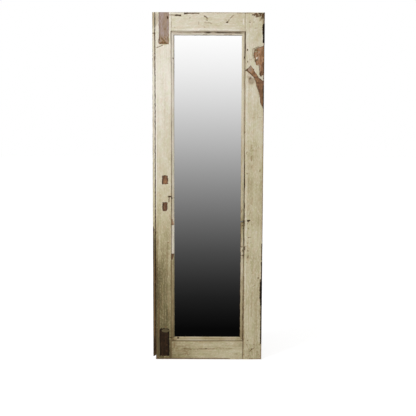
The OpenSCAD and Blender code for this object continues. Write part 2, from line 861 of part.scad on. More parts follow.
// Closed D of wire, hanging down from its bar, which lies on the X axis at z = 0
module hanger_ring(side) {
  bend_x = ring_half_w - ring_bend_r;
  color(zinc) in_place() translate([side * hanger_x, leaf_t + eye_r, ring_bar_z]) {
    translate([-bend_x, 0, 0]) rotate([0, 90, 0]) cylinder(h = 2 * bend_x, r = ring_wire_r, $fn = 32);
    translate([bend_x, 0, -ring_bend_r]) wire_bend(ring_bend_r, 0, 90);
    translate([-bend_x, 0, -ring_bend_r]) wire_bend(ring_bend_r, 90, 90);
    for (s = [-1, 1])
      translate([s * ring_half_w, 0, -ring_arc_l]) cylinder(h = ring_side_l, r = ring_wire_r, $fn = 32);
    translate([0, 0, -ring_arc_l]) wire_bend(ring_half_w, 180, 180);
  }
}

module hanger_ring_left() {
  hanger_ring(-1);
}

module hanger_ring_right() {
  hanger_ring(1);
}

module hanger_screws() {
  color(zinc) in_place()
    for (side = [-1, 1]) at_strap_screws(side) wood_screw(strap_screw_d, strap_screw_l, false);
}

// Turned rubber buttons that keep the foot of the leaf off the wall
module wall_bumpers() {
  edge_r = 2;
  r = bumper_d / 2;
  color(rubber_black) in_place()
    for (side = [-1, 1])
      translate([side * hanger_x, leaf_t, bumper_z]) rotate([-90, 0, 0])
        rotate_extrude($fn = 64) {
          square([r, standoff - edge_r]);
          square([r - edge_r, standoff]);
          translate([r - edge_r, standoff - edge_r]) circle(edge_r, $fn = 32);
        }
}

// ---- Iron left in the hinge stile ----

module upper_hinge_leaf() {
  color(rusty_iron) in_place() difference() {
    upper_leaf_space(0);
    at_leaf_screws() screw_hole(leaf_screw_d, leaf_screw_l, true);
  }
}

module lower_hinge_leaf() {
  color(rusty_iron) in_place() difference() {
    iron_leaf_space(lower_leaf_z, lower_leaf_l, 0);
    at_leaf_screws() screw_hole(leaf_screw_d, leaf_screw_l, true);
  }
}

module hinge_leaf_screws() {
  color(rusty_iron) in_place() at_leaf_screws() wood_screw(leaf_screw_d, leaf_screw_l, true);
}

lock_stile();
hinge_stile();
top_rail();
bottom_rail();
meeting_strip();
strip_nails();
joint_pegs();
tenon_wedges();
bead_top();
bead_bottom();
bead_left_upper();
bead_left_patch();
bead_left_lower();
bead_right_upper();
bead_right_patch();
bead_right_short();
bead_right_lower();
bead_pins();
mirror_glass();
mirror_backing();
setting_blocks();
packing_left();
packing_right();
packing_top();
packing_bottom();
packing_nails();
back_board();
back_board_screws();
upper_hinge_leaf();
lower_hinge_leaf();
hinge_leaf_screws();
hanger_strap_left();
hanger_strap_right();
hanger_ring_left();
hanger_ring_right();
hanger_screws();
wall_bumpers();
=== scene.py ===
"""A tall mirror in an old painted shutter leaf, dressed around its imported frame.

Places in the tables are millimetres on the leaf: x from its middle line, y back from
its front face, z up from its foot. Meshes are in metres, in the frame's own axes.
"""

import json
import math

import bmesh
import bpy
import numpy as np
from bpy.props import FloatProperty, FloatVectorProperty, IntProperty, PointerProperty
from bpy.types import Operator, Panel, PropertyGroup
from mathutils import Matrix, Vector
from mathutils.bvhtree import BVHTree


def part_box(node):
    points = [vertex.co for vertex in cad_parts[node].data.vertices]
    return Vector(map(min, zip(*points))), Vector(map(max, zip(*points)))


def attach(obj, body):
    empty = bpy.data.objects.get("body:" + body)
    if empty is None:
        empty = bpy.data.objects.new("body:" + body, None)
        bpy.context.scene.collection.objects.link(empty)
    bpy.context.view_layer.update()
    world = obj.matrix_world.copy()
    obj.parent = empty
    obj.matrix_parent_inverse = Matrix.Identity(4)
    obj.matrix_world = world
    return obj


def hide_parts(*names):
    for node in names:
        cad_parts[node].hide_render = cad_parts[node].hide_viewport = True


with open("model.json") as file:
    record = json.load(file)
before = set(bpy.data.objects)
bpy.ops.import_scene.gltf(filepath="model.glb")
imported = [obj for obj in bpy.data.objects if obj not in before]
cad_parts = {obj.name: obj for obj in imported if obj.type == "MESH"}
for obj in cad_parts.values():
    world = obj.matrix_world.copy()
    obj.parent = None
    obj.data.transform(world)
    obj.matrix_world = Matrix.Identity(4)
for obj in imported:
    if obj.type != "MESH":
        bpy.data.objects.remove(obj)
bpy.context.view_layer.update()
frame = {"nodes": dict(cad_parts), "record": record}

bl_info = {
    "name": "Shutter Mirror",
    "version": (1, 0, 0),
    "blender": (4, 5, 0),
    "location": "3D View > Sidebar > Shutter Mirror",
    "description": "Dresses a mirror made from an old painted shutter leaf",
    "category": "Object",
}

MM = 0.001
LEAF_LOW, LEAF_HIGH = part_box("lock_stile")
# The leaf's front face, its foot and its middle line, in metres in the frame
LEAF_ORIGIN = np.array([0.0, LEAF_LOW.y, LEAF_LOW.z])
LEAF_TALL = (LEAF_HIGH.z - LEAF_LOW.z) / MM
# The leaf's middle line to its outer edges, in mm
HALF_WIDE = 282.5
BODY = "leaf"


def linear(hex_colour):
    """An sRGB hex colour as the linear RGBA that shader sockets take."""
    parts = [int(hex_colour[i:i + 2], 16) / 255 for i in (1, 3, 5)]
    return (*(p / 12.92 if p <= 0.04045 else ((p + 0.055) / 1.055) ** 2.4 for p in parts), 1.0)


def colour(hex_colour, name, description):
    """A colour that the user can change, written as sRGB hex."""
    return FloatVectorProperty(
        name=name, description=description, subtype="COLOR", size=4,
        min=0.0, max=1.0, default=linear(hex_colour),
    )


def length(default, name, description):
    """A length that the user can change, in metres."""
    return FloatProperty(
        name=name, description=description, unit="LENGTH",
        default=default, min=0.0, precision=4,
    )


# ---- What a user may change ----


class LeafSizes(PropertyGroup):
    """Sizes of the worn wood."""

    pitch: length(0.0025, "Mesh pitch", "Distance between mesh lines on the wood's faces")
    arris: length(0.0011, "Arris", "Radius of a long edge that is little worn")
    wear: length(0.0026, "Wear", "What wear adds to the radius of the outer edges")
    sway: length(0.0004, "Unevenness", "Depth of the hand-planed unevenness of a face")
    ragged: length(0.0012, "Ragged edge", "How far an old cut's edge strays from its line")
    mouth: length(0.0025, "Mortise depth", "How deep a mortise's mouth stays open to view")


class FittingSizes(PropertyGroup):
    """Sizes of screws, nails, pegs and rings."""

    slot: length(0.001, "Screw slot", "Width of the slot in a screw's head")
    soften: length(0.0004, "Softened edge", "Radius on the edges of cut and pressed parts")
    sides: IntProperty(
        name="Sides", description="Sides of a screw's head", default=28, min=8, max=64
    )
    seed: IntProperty(name="Seed", description="Seed of the fittings' turns", default=7)


class Colours(PropertyGroup):
    """Colours of the finishes, new to old where a finish has several."""

    paint_clean: colour("#ece6d9", "Clean paint", "Cream oil paint where it is cleanest")
    paint_aged: colour("#c6bc9e", "Aged paint", "The same paint, aged")
    # The dirty paint is also the painted shade at the lower left of the leaf
    paint_dirty_and_shaded: colour("#746a49", "Dirty paint", "The same paint under old dirt")
    patch: colour("#e8e2d2", "Newer paint", "Off-white paint on the mended bead")
    wood_pale: colour("#a99791", "Pale wood", "Old bare wood, greyed, where a bolt sat")
    wood_warm: colour("#a67b57", "Warm wood", "Bare wood where the edge has split away")
    wood_dark: colour("#4b3222", "Dark wood", "Bare wood darkened by handling and damp")
    softwood: colour("#b58d60", "Softwood", "Planed softwood of the packing")
    iron: colour("#0e0805", "Rusty iron", "Iron of the old hinge leaves and nails")
    zinc: colour("#b9bbbd", "Zinc", "Zinc plate on the hangers and screws")
    board: colour("#7b5a3c", "Hardboard", "Smooth face of the back board")
    rubber: colour("#1d1d1e", "Rubber", "Rubber of the bumpers and setting blocks")
    film: colour("#5f6468", "Backing film", "Film on the back of the mirror")


class Studio(PropertyGroup):
    """Light and camera."""

    sky: FloatProperty(
        name="Sky", description="Strength of the even light from all round",
        default=0.66, min=0.0,
    )
    key: FloatProperty(
        name="Key lamp", description="Power of the soft lamp at the upper left",
        default=95.0, min=0.0, unit="POWER",
    )
    away: length(3.9785, "Camera distance", "Camera to the leaf's front face")
    eye: length(1.1897, "Camera height", "Camera above the foot of the leaf")
    aside: length(0.001, "Camera offset", "Camera to the right of the leaf's middle line")
    tilt: FloatProperty(
        name="Tilt", description="How far the camera looks down",
        default=math.radians(5.665), subtype="ANGLE",
    )
    roll: FloatProperty(
        name="Roll", description="How far the camera leans",
        default=math.radians(0.208), subtype="ANGLE",
    )
    lens: FloatProperty(name="Lens", description="Focal length in mm", default=67.46)


# ---- Surfaces: old marks and ages, all in millimetres on the leaf ----

# Age of the paint, 0 clean to 1 dirty, against the place along each piece. The tables also
# paint light and shade. The lock stile is lightest at its top, as if lit from the upper left,
# and darkens steeply towards its foot. The bottom rail, the meeting strip and the left and
# bottom beads darken towards the lower left. That darkening is part dirt and part painted
# shade of a light that falls off towards the lower left.
AGES_AND_PAINTED_LIGHT = {
    "lock_stile": (
        (0, 0.96), (205, 0.93), (418, 0.90), (523, 0.79), (627, 0.67), (705, 0.61),
        (886, 0.45), (1090, 0.37), (1190, 0.33), (1293, 0.25), (1395, 0.19), (1780, 0.16),
    ),
    "hinge_stile": (
        (0, 0.64), (100, 0.57), (312, 0.59), (523, 0.54), (627, 0.52), (730, 0.57),
        (940, 0.59), (1040, 0.55), (1140, 0.45), (1343, 0.44), (1640, 0.38), (1780, 0.46),
    ),
    "top_rail": ((-190, 0.33), (-80, 0.32), (20, 0.37), (190, 0.40)),
    "bottom_rail": (
        (-190, 0.86), (-178, 0.82), (-136, 0.71), (-67, 0.66), (11, 0.60), (90, 0.57),
        (190, 0.58),
    ),
    "meeting_strip": (
        (0, 1.15), (400, 1.12), (560, 1.06), (650, 0.90), (700, 0.64), (835, 0.52),
        (1000, 0.42), (1300, 0.30), (1560, 0.22), (1640, 0.32), (1720, 0.46), (1780, 0.52),
    ),
    "bead_left": (
        (0, 0.93), (205, 0.86), (418, 0.76), (523, 0.66), (705, 0.38), (835, 0.33),
        (1040, 0.27), (1343, 0.17), (1780, 0.06),
    ),
    "bead_right": (
        (0, 0.68), (205, 0.66), (418, 0.56), (627, 0.50), (690, 0.66), (720, 0.80),
        (760, 0.64), (835, 0.60), (1040, 0.54), (1180, 0.48), (1343, 0.42), (1780, 0.42),
    ),
    "bead_top": ((-190, 0.20), (0, 0.26), (190, 0.30)),
    "bead_bottom": ((-190, 0.84), (-160, 0.62), (0, 0.52), (190, 0.50)),
}

# Width of bare wood along the low and the high front edge of each piece
BARE_EDGES = {
    "lock_stile": (
        ((0, 1.6), (300, -0.6), (600, -2.5), (900, -4.0), (1780, -4.0)),
        ((0, 0.5), (1780, -1.5)),
    ),
    "hinge_stile": (
        ((0, -2.0), (1780, -2.0)),
        (
            (0, 1.5), (180, 2.0), (250, 4.5), (430, 4.5), (520, 3.0), (620, 2.2),
            (700, 1.6), (1000, 1.0), (1250, 2.0), (1320, 4.5), (1680, 5.0), (1735, 2.0),
            (1765, 3.0), (1780, 6.0),
        ),
    ),
    "top_rail": (((-190, -2.0), (190, -2.0)), ((-190, 1.2), (-80, 2.2), (-30, 0.0), (190, 0.4))),
    "bottom_rail": (((-190, 3.0), (190, 1.6)), ((-190, -1.5), (190, -1.5))),
    "meeting_strip": (
        ((0, 5.0), (110, 3.0), (160, -1.0), (1780, -1.0)), ((0, 1.0), (300, -1.0), (1780, -1.0)),
    ),
}

# Dirt in the seam between a stile and its bead: darkness and width against the height
SEAMS = {
    "lock_stile": (
        ((0, 0.14), (500, 0.14), (1450, 0.12), (1560, 0.30), (1640, 0.66)),
        ((0, 2.0), (1780, 2.0)),
    ),
    "hinge_stile": (
        ((0, 0.50), (300, 0.50), (480, 0.55), (600, 0.92), (950, 0.92), (1150, 0.60),
         (1450, 0.50), (1600, 0.85)),
        ((0, 2.0), (430, 2.4), (560, 5.4), (950, 5.6), (1100, 3.0), (1500, 2.6), (1620, 4.0)),
    ),
}

# Wood inside old cuts: x and z from and to, then its tone, 0 pale to 1 nearly black, at
# the left and at the right, how rough the tone is, and how much paint is left in specks
WOOD_TONES = (
    (-260, -180, 1660, 1785, 0.12, 0.12, 0.10, 0),
    (-260, -180, 1615, 1664, 0.14, 0.14, 0.12, 0.9),
    (-245, -205, 910, 970, 0.585, 0.585, 0.10, 0), (-245, -205, 770, 830, 0.60, 0.60, 0.08, 0),
    (-260, -180, 142, 170, 0.80, 0.80, 0.10, 0), (-260, -180, 0, 142, 0.88, 0.88, 0.06, 0),
    (200, 250, 1535, 1625, 0.38, 0.40, 0.14, 0.55), (250, 284, 1535, 1625, 0.36, 0.44, 0.14, 0),
    (200, 284, 1490, 1535, 0.20, 0.56, 0.14, 0), (190, 284, 1290, 1490, 0.36, 0.60, 0.12, 0),
)

# Dark marks on the front: x, z, half length, half width, turn in degrees, strength, depth
MARKS = (
    # top rail
    (-153, 1764, 13, 3.6, 0, 0.98, 1.2), (-182, 1765, 18, 2.6, 0, 0.55, 0.5),
    (-80, 1774, 33, 3, 0, 0.72, 1), (-114, 1773, 5, 3.6, 0, 0.95, 0.8),
    (-15, 1758, 6, 3.1, -30, 0.75, 0.8), (-7, 1750, 2, 3.1, 0, 0.6, 0.6),
    (-7, 1741, 1, 3.1, 0, 0.55, 0.5), (-1, 1728, 10, 1.8, 0, 0.42, 0.3),
    (-16, 1730, 1, 2.6, 0, 0.45, 0.3), (-48, 1727, 6, 1.5, 90, 0.32, 0.3),
    (-19, 1707, 1, 2.6, 0, 0.45, 0.4), (-93, 1752, 1, 2.6, 0, 0.5, 0.4),
    (13, 1724, 3, 2, 0, 0.4, 0.3), (94, 1731, 2, 4.1, 0, 0.97, 1.5),
    (101, 1739, 6, 1.8, 50, 0.5, 0.5), (115, 1756, 8, 1.8, 45, 0.6, 0.6),
    (88, 1742, 1, 2.6, 0, 0.35, 0.3), (124, 1764, 2, 2.6, 0, 0.4, 0.3),
    (68, 1777, 92, 1.3, 0, 0.3, 0.3), (-170, 1705, 1, 2, 0, 0.35, 0.3),
    (-185, 1720, 13, 1.3, 90, 0.35, 0.3), (158, 1776, 13, 2, 0, 0.5, 0.4),
    (28, 1690, 72, 1.5, 0, 0.25, 0.2),
    # bottom rail
    (-40, 2, 156, 3.8, 0, 0.66, 0.2), (-104, 56, 20, 1.5, -8, 0.6, 0.8),
    (-7, 56, 3, 3.1, 0, 0.85, 1.3), (-4, 56, 41, 1.4, -1, 0.55, 0.8),
    (61, 60, 26, 1.3, 0, 0.42, 0.6),
    (-114, 29, 12, 1.5, 0, 0.4, 0.4), (150, 29, 6, 2, 0, 0.5, 0.5),
    (100, 85, 4, 1.5, 0, 0.3, 0.3), (-132, 44, 31, 4.6, -4, 0.2, 0.2),
    (-172, 73, 13, 3.1, 85, 0.42, 0.3), (-161, 57, 6, 2.6, 60, 0.3, 0.3),
    (19, 93, 61, 1.3, 0, 0.3, 0.2), (-59, 7, 113, 1.5, 0, 0.4, 0.3),
    (111, 57, 18, 1.3, 0, 0.4, 0.4), (-90, 73, 26, 1.2, -6, 0.3, 0.3),
    # lock stile
    (-246, 1610, 16, 1.5, 21, 0.8, 1.2), (-205, 1754, 4, 3.3, 90, 0.9, 1),
    (-218, 1697, 3, 3.6, 90, 0.5, 0.4), (-231, 1689, 5, 2.6, 80, 0.3, 0.3),
    (-225, 1726, 8, 1.5, 86, 0.32, 0.3), (-242, 1751, 8, 1.8, 90, 0.4, 0.3),
    (-244, 1712, 10, 1.8, 90, 0.32, 0.3), (-236, 1657, 3, 3.1, 0, 0.8, 0.5),
    (-214, 1661, 4, 2.8, -20, 0.9, 0.6), (-246, 1646, 3, 2.6, 0, 0.6, 0.5),
    (-203, 1640, 8, 2.3, 90, 0.7, 0.5), (-249, 1636, 7, 2, 90, 0.75, 0.5),
    (-226, 1643, 4, 2.3, 10, 0.55, 0.5), (-233, 1629, 3, 1.8, 0, 0.5, 0.4),
    (-212, 1630, 4, 2, 0, 0.5, 0.4), (-221, 1653, 2, 1.5, 0, 0.4, 0.3),
    (-241, 1661, 2, 2, 0, 0.4, 0.3), (-196, 853, 5, 4.6, 0, 0.95, 1.8),
    (-199, 836, 10, 2.6, 85, 0.72, 0.8), (-185, 845, 1, 3.4, 0, 0.9, 0.5),
    (-189, 852, 2, 2, 0, 0.6, 0.5), (-256, 613, 8, 2, 80, 0.5, 0.5),
    (-255, 629, 1, 2.6, 0, 0.42, 0.4), (-204, 615, 2, 2.6, 0, 0.46, 0.5),
    (-228, 722, 1, 2.3, 0, 0.36, 0.4), (-194, 748, 13, 1.3, 88, 0.42, 0.3),
    (-217, 172, 2, 2.6, 90, 0.45, 0.4), (-189, 115, 4, 2.3, 0, 0.95, 1.5),
    (-232, 5, 36, 1.4, 0, 0.55, 0.3), (-260, 1091, 72, 1.2, 90, 0.16, 0.1),
    (-219, 1294, 102, 1.2, 90, 0.14, 0.1), (-236, 314, 92, 1.3, 90, 0.2, 0.1),
    (-212, 514, 46, 1.3, 90, 0.2, 0.1), (-202, 282, 61, 1.5, 90, 0.22, 0.1),
    (-254, 219, 102, 2.6, 90, 0.2, 0.1), (-188, 54, 44, 1.5, 90, 0.5, 0.3),
    # hinge stile
    (250, 2, 30, 3.6, 0, 0.50, 0.2), (187, 250, 190, 2.6, 90, 0.62, 0.2),
    (210, 730, 4, 5.1, 0, 0.9, 1.8), (206, 718, 5, 3, 60, 0.42, 0.6),
    (209, 689, 2, 2.3, 90, 0.55, 0.5), (225, 710, 1, 2.6, 0, 0.34, 0.3),
    (211, 643, 2, 3.1, 0, 0.6, 0.6), (220, 644, 1, 2.6, 0, 0.36, 0.3),
    (206, 614, 3, 1.8, 10, 0.4, 0.3), (208, 573, 2, 2.8, 0, 0.55, 0.5),
    (208, 542, 6, 2.2, 85, 0.66, 0.6), (202, 513, 2, 2, 0, 0.4, 0.3),
    (223, 617, 3, 1.8, 60, 0.34, 0.3), (226, 832, 18, 2.3, 80, 0.26, 0.2),
    (208, 798, 15, 2.2, 78, 0.26, 0.2), (215, 765, 9, 1.8, 60, 0.26, 0.2),
    (222, 1108, 10, 2.8, 80, 0.32, 0.2), (222, 1050, 11, 3.3, 85, 0.42, 0.3),
    (224, 1006, 10, 2.3, 85, 0.34, 0.2), (266, 986, 5, 2.3, 80, 0.6, 0.4),
    (201, 973, 2, 3.1, 0, 0.5, 0.4), (197, 1077, 5, 1.8, 85, 0.4, 0.3),
    (228, 1090, 3, 2, 0, 0.34, 0.3), (256, 1104, 2, 2, 0, 0.3, 0.2),
    (229, 1255, 6, 1.8, 0, 0.28, 0.2), (263, 1257, 5, 1.8, 0, 0.28, 0.2),
    (196, 1595, 2, 3.1, 90, 0.8, 0.8), (198, 1536, 3, 2, 90, 0.7, 0.7),
    (214, 1546, 5, 4.1, 0, 0.24, 0.3), (228, 1497, 3, 2.3, 90, 0.6, 0.6),
    (208, 1731, 2, 3.6, 0, 0.5, 0.4), (228, 1732, 1, 2.6, 0, 0.34, 0.3),
    (238, 1702, 2, 4.6, 0, 0.24, 0.2), (263, 1744, 6, 3.1, 40, 0.4, 0.3),
    (248, 1760, 9, 4.1, 5, 0.55, 0.5), (268, 1755, 7, 4.6, 60, 0.6, 0.6),
    (233, 1770, 12, 2.6, 0, 0.62, 0.5), (266, 1773, 13, 3.6, 0, 0.85, 0.8),
    (198, 1776, 20, 1.8, 0, 0.55, 0.4), (278, 1750, 23, 3.1, 90, 0.75, 0.5),
    (279, 1659, 28, 3.3, 90, 0.85, 0.4), (239, 1588, 4, 4.1, 0, 0.45, 0.4),
    (231, 1570, 6, 2.6, 82, 0.5, 0.4), (271, 1580, 17, 3.6, 88, 0.5, 0.4),
    (239, 1540, 4, 2.6, 20, 0.6, 0.5), (250, 1527, 6, 2, 20, 0.45, 0.3),
    (265, 1565, 10, 1.5, 85, 0.3, 0.2), (269, 1470, 7, 3.6, 80, 0.4, 0.3),
    (240, 1605, 16, 1.8, 23, 0.62, 0.3), (224, 1575, 22, 1.8, 94, 0.5, 0.3),
    (212, 1479, 20, 1.8, -41, 0.8, 0.5), (192, 1493, 2, 2.6, 0, 0.95, 1.2),
    (247, 1418, 37, 1.6, -71, 0.45, 0.2), (267, 1340, 41, 1.5, -74, 0.4, 0.2),
    (220, 1493, 12, 1.5, -50, 0.4, 0.3), (258, 1433, 18, 2.6, -60, 0.35, 0.3),
    (268, 1396, 15, 2.6, -75, 0.4, 0.3), (274, 1356, 26, 2.6, -82, 0.45, 0.3),
    (281, 1535, 92, 3.0, 90, 0.75, 0.2), (280, 1361, 56, 4.0, 90, 0.9, 0.2),
    (281, 1144, 133, 1.8, 90, 0.5, 0.2), (281, 889, 123, 1.8, 90, 0.5, 0.2),
    (281, 703, 51, 2.0, 90, 0.6, 0.2), (280, 568, 42, 3.4, 90, 0.9, 0.4),
    (280, 960, 330, 3.4, 90, 0.34, 0.2), (280, 463, 50, 4.2, 90, 0.97, 0.3),
    (279, 200, 113, 5.2, 90, 0.97, 0.3),
    # The two dark lines at x 273, beside the hinge leaves, are rust stain and painted shadow that
    # widen the dark of the leaves' notch
    (273, 370, 52, 2.6, 90, 0.94, 0.3), (273, 1694, 20, 2.4, 90, 0.97, 0.3),
    (281, 1580, 44, 2.4, 90, 0.9, 0.3), (280, 50, 41, 2.2, 90, 0.6, 0.3),
    (263, 432, 1, 4.1, 0, 0.75, 0.9),
    (240, 390, 6, 1.5, 40, 0.4, 0.3), (230, 289, 61, 1.2, 90, 0.36, 0.4),
    (251, 914, 1, 2.6, 0, 0.4, 0.4), (255, 168, 2, 2.6, 0, 0.36, 0.3),
    (206, 79, 1, 2.3, 0, 0.62, 0.5), (220, 79, 1, 2, 0, 0.42, 0.4),
    (243, 80, 1, 2.3, 0, 0.66, 0.5), (271, 79, 1, 2, 0, 0.6, 0.5),
    (210, 102, 1, 2.3, 0, 0.6, 0.5), (232, 54, 2, 3.1, 60, 0.8, 0.8),
    (230, 50, 16, 1.5, 40, 0.6, 0.6), (225, 47, 12, 1.2, -40, 0.45, 0.4),
    (246, 64, 4, 1.4, 45, 0.42, 0.3), (260, 40, 1, 2, 0, 0.52, 0.4), (268, 28, 1, 2, 0, 0.5, 0.4),
    (272, 18, 1, 2, 0, 0.5, 0.4), (188, 26, 1, 2.3, 0, 0.52, 0.4), (216, 19, 2, 2, 0, 0.5, 0.4),
    (236, 26, 1, 1.5, 0, 0.4, 0.3), (203, 12, 2, 1.5, 0, 0.45, 0.3),
    (253, 58, 1, 1.5, 0, 0.36, 0.3), (186, 50, 36, 1.2, 90, 0.5, 0.2),
    (216, 258, 102, 1.3, 90, 0.2, 0.1), (253, 221, 82, 1.3, 90, 0.18, 0.1),
    (240, 516, 72, 1.2, 90, 0.16, 0.1),
    # meeting strip
    (-276, 1676, 6, 1.5, 0, 0.9, 1.2), (-277, 1762, 8, 3.6, 90, 0.4, 0.3),
    (-276, 1726, 17, 1.8, 90, 0.3, 0.3), (-274, 1060, 100, 1.2, 90, 0.10, 0.1),
    (-270, 1590, 90, 3.0, 90, 0.32, 0.1), (-277, 679, 3, 3.3, 80, 0.85, 0.6),
    (-269, 654, 3, 1.8, 80, 0.7, 0.4), (-280, 675, 20, 2, 90, 0.7, 0.3),
    (-281, 514, 123, 2.2, 90, 0.9, 0.3), (-281, 288, 133, 2.4, 90, 0.85, 0.3),
    (-280, 70, 51, 6.7, 90, 0.96, 0.5), (-281, 123, 20, 3.6, 90, 0.9, 0.4),
    (-281, 592, 31, 2, 90, 0.6, 0.3), (-277, 1543, 31, 1.3, 90, 0.25, 0.2),
    (-280, 1233, 26, 1.5, 90, 0.35, 0.2), (-281, 1091, 20, 1.5, 90, 0.3, 0.2),
    (-275, 300, 60, 1.3, 90, 0.5, 0.2),
    # beads
    (-178, 1552, 2, 2.6, 90, 0.8, 0.6), (-170, 848, 3, 1.5, 0, 0.5, 0.3),
    (182, 720, 6, 1.8, 25, 0.95, 1), (179, 703, 1, 3.1, 0, 0.9, 1),
    (175, 780, 8, 1.8, 80, 0.5, 0.3), (175, 630, 10, 1.5, 88, 0.45, 0.3),
    (176, 594, 3, 2.3, 0, 0.6, 0.4), (179, 575, 6, 1.8, 80, 0.7, 0.6),
    (177, 549, 5, 2, 0, 0.85, 0.6), (179, 535, 5, 1.5, 80, 0.5, 0.3),
    (182, 1555, 3, 3.6, 90, 0.8, 0.6), (186, 1181, 4, 2.6, 80, 0.7, 0.4),
    (191, 588, 8, 2.6, 90, 0.85, 0.4), (190, 718, 15, 2, 90, 0.6, 0.4),
    (-176, 103, 5, 5.0, 0, 0.42, 0.2), (-153, 113, 2, 3.8, 0, 0.9, 1.2),
    (-167, 102, 5, 1.8, 30, 0.6, 0.5), (-177, 102, 2, 3.1, 0, 0.8, 0.8),
    (-179, 1243, 26, 1.5, 90, 0.2, 0.1),
    (48, 1675, 61, 1.5, 0, 0.3, 0.3), (-12, 1672, 15, 1.5, 8, 0.45, 0.4),
    (-98, 1675, 20, 1.3, -4, 0.3, 0.3), (98, 1671, 20, 1.5, 4, 0.35, 0.3),
    (-169, 805, 15, 1.5, 90, 0.55, 0.4), (-169, 1394, 15, 1.3, 90, 0.4, 0.2),
    (-169, 314, 26, 1.8, 90, 0.5, 0.3), (-169, 472, 15, 1.8, 90, 0.5, 0.3),
    (-172, 219, 10, 2, 80, 0.5, 0.3), (177, 395, 31, 1.5, 90, 0.4, 0.3),
)

# Soft stains, rubbed places and pale chips, and painted light: x, z, half sizes, then the
# change of age, of bareness and of darkness
STAINS_AND_PAINTED_LIGHT = (
    (218, 1441, 19, 22, 0, 0, 0.44), (207, 1462, 13, 16, 0, 0, 0.26),
    (-226, 1627, 28, 6, 0.10, 0, 0.28),
    (248, 1768, 34, 11, 0.15, 0.44, 0.14), (274, 1748, 9, 34, 0.15, 0.32, 0.20),
    (-221, 1640, 26, 24, 0.55, 0, 0.10), (-219, 150, 27, 12, 0.06, -1.25, 0.10),
    (-279, 1745, 5, 34, 0, 0, 0.20), (-261, 1745, 12, 36, 0.10, 0, 0.26),
    # The four rows below darken the lower left edge: part dirt, part painted shade
    (-264, 560, 7, 190, 0.14, 0, 0.10), (-276, 250, 9, 330, 0.10, 0, 0.50),
    (-276, 40, 10, 90, 0, 0, 0.24), (-259, 230, 11, 260, 0.10, 0, 0),
    # The first row below is a painted highlight: a paler band along the lock stile's inner arris
    (-199, 330, 9, 240, -0.09, 0, 0), (175, 1735, 3, 17, -0.40, -0.8, 0),
    (244, 1554, 4, 6, -0.55, -1.9, 0), (240, 1589, 7, 8, 0.15, -1.5, 0.1),
    (234, 1546, 4, 9, 0.15, -1.4, 0.1), (275, 1462, 9, 9, -0.15, -1.7, 0),
    (207, 1469, 7, 4, -0.35, -0.6, 0), (219, 1459, 7, 4, -0.35, -0.6, 0),
    (256, 1500, 9, 26, 0, 0, -0.22), (243, 1490, 10, 20, 0, 0, -0.15),
    # Painted highlights: a paler band over the lock stile's left arris, which also paints out the
    # shadow beside the meeting strip, and a paler band near the hinge stile's inner edge
    (-267, 1180, 6, 560, -0.34, -0.3, 0), (196, 900, 5, 760, -0.12, 0, 0),
    (-213, 13, 16, 5, -0.22, -0.8, 0),
    (-225, 40, 40, 60, 0.05, 0, 0), (-240, 1755, 8, 20, 0.10, 0.25, 0),
    (212, 1505, 10, 12, 0.04, 0.10, 0), (-268, 60, 10, 60, 0.10, 0.25, 0.1),
    (-264, 8, 14, 12, 0, 0.35, 0.2), (205, 100, 8, 30, 0.05, 0.10, 0),
    # A painted highlight: a paler band along the top rail's lower edge
    (0, 1693, 190, 7, -0.14, 0, 0),
)


def scatter(keys):
    """A repeatable value between -1 and 1 for each whole number."""
    keys = keys.astype(np.uint32)
    for shift, factor in ((16, 0x45D9F3B), (15, 0x2C1B3C6D)):
        keys = (keys ^ (keys >> np.uint32(shift))) * np.uint32(factor)
    return (keys ^ (keys >> np.uint32(16))).astype(float) / 2147483648.0 - 1.0


def lumps(points, size, seed):
    """Smooth noise between -1 and 1; size gives the lumps' size along each axis."""
    places = points / np.asarray(size, float)
    base = np.floor(places).astype(np.int64)
    share = places - base
    share = share * share * (3 - 2 * share)
    total = np.zeros(len(places))
    for corner in np.ndindex(*(2,) * places.shape[1]):
        weight = np.ones(len(places))
        key = np.full(len(places), seed * 7919, np.int64)
        for axis, step in enumerate(corner):
            weight *= share[:, axis] if step else 1 - share[:, axis]
            key = key * 31337 + base[:, axis] + step
        total += weight * scatter(key & 0xFFFFFFFF)
    return total


def step(low, high, value):
    """0 below low, 1 above high and a smooth rise between them."""
    share = np.clip((value - low) / (high - low), 0, 1)
    return share * share * (3 - 2 * share)


def along_table(table, place):
    """Reads a table of (place, value) pairs."""
    return np.interp(place, *zip(*table))


def front_marks(x, z):
    """Darkness and depth in mm that the marks give at each place on the front."""
    dark, deep = np.zeros(len(x)), np.zeros(len(x))
    places = np.stack([x, z], 1)
    # Marks have ragged outlines, and fade out round them
    stray, fade = 1.3, 1.6
    x = x + stray * lumps(places, (5, 5), 301)
    z = z + stray * lumps(places, (5, 5), 302)
    for mark_x, mark_z, half_length, half_width, turn, strength, depth in MARKS:
        c, s = math.cos(math.radians(turn)), math.sin(math.radians(turn))
        run = (x - mark_x) * c + (z - mark_z) * s
        side = (z - mark_z) * c - (x - mark_x) * s
        gone = np.hypot(np.maximum(abs(run) - half_length, 0), side)
        here = 1 - step(half_width * 0.5, half_width + fade, gone)
        dark = np.maximum(dark, strength * here)
        deep = np.maximum(deep, depth * here)
    return dark, deep


def front_stains_and_painted_light(x, z):
    """Change of age, bareness and darkness that the stains and the painted light give at each
    front place.
    """
    change = np.zeros((3, len(x)))
    for stain_x, stain_z, half_x, half_z, *changes in STAINS_AND_PAINTED_LIGHT:
        here = 1 - step(0.6, 1.15, np.hypot((x - stain_x) / half_x, (z - stain_z) / half_z))
        change += np.outer(changes, here)
    return change


# ---- Meshes ----


def to_frame(points):
    """Places in mm on the leaf as metres in the frame."""
    return np.asarray(points) * MM + LEAF_ORIGIN


def to_leaf(point):
    """A place in the frame, in metres, as mm on the leaf."""
    return (np.asarray(point) - LEAF_ORIGIN) / MM


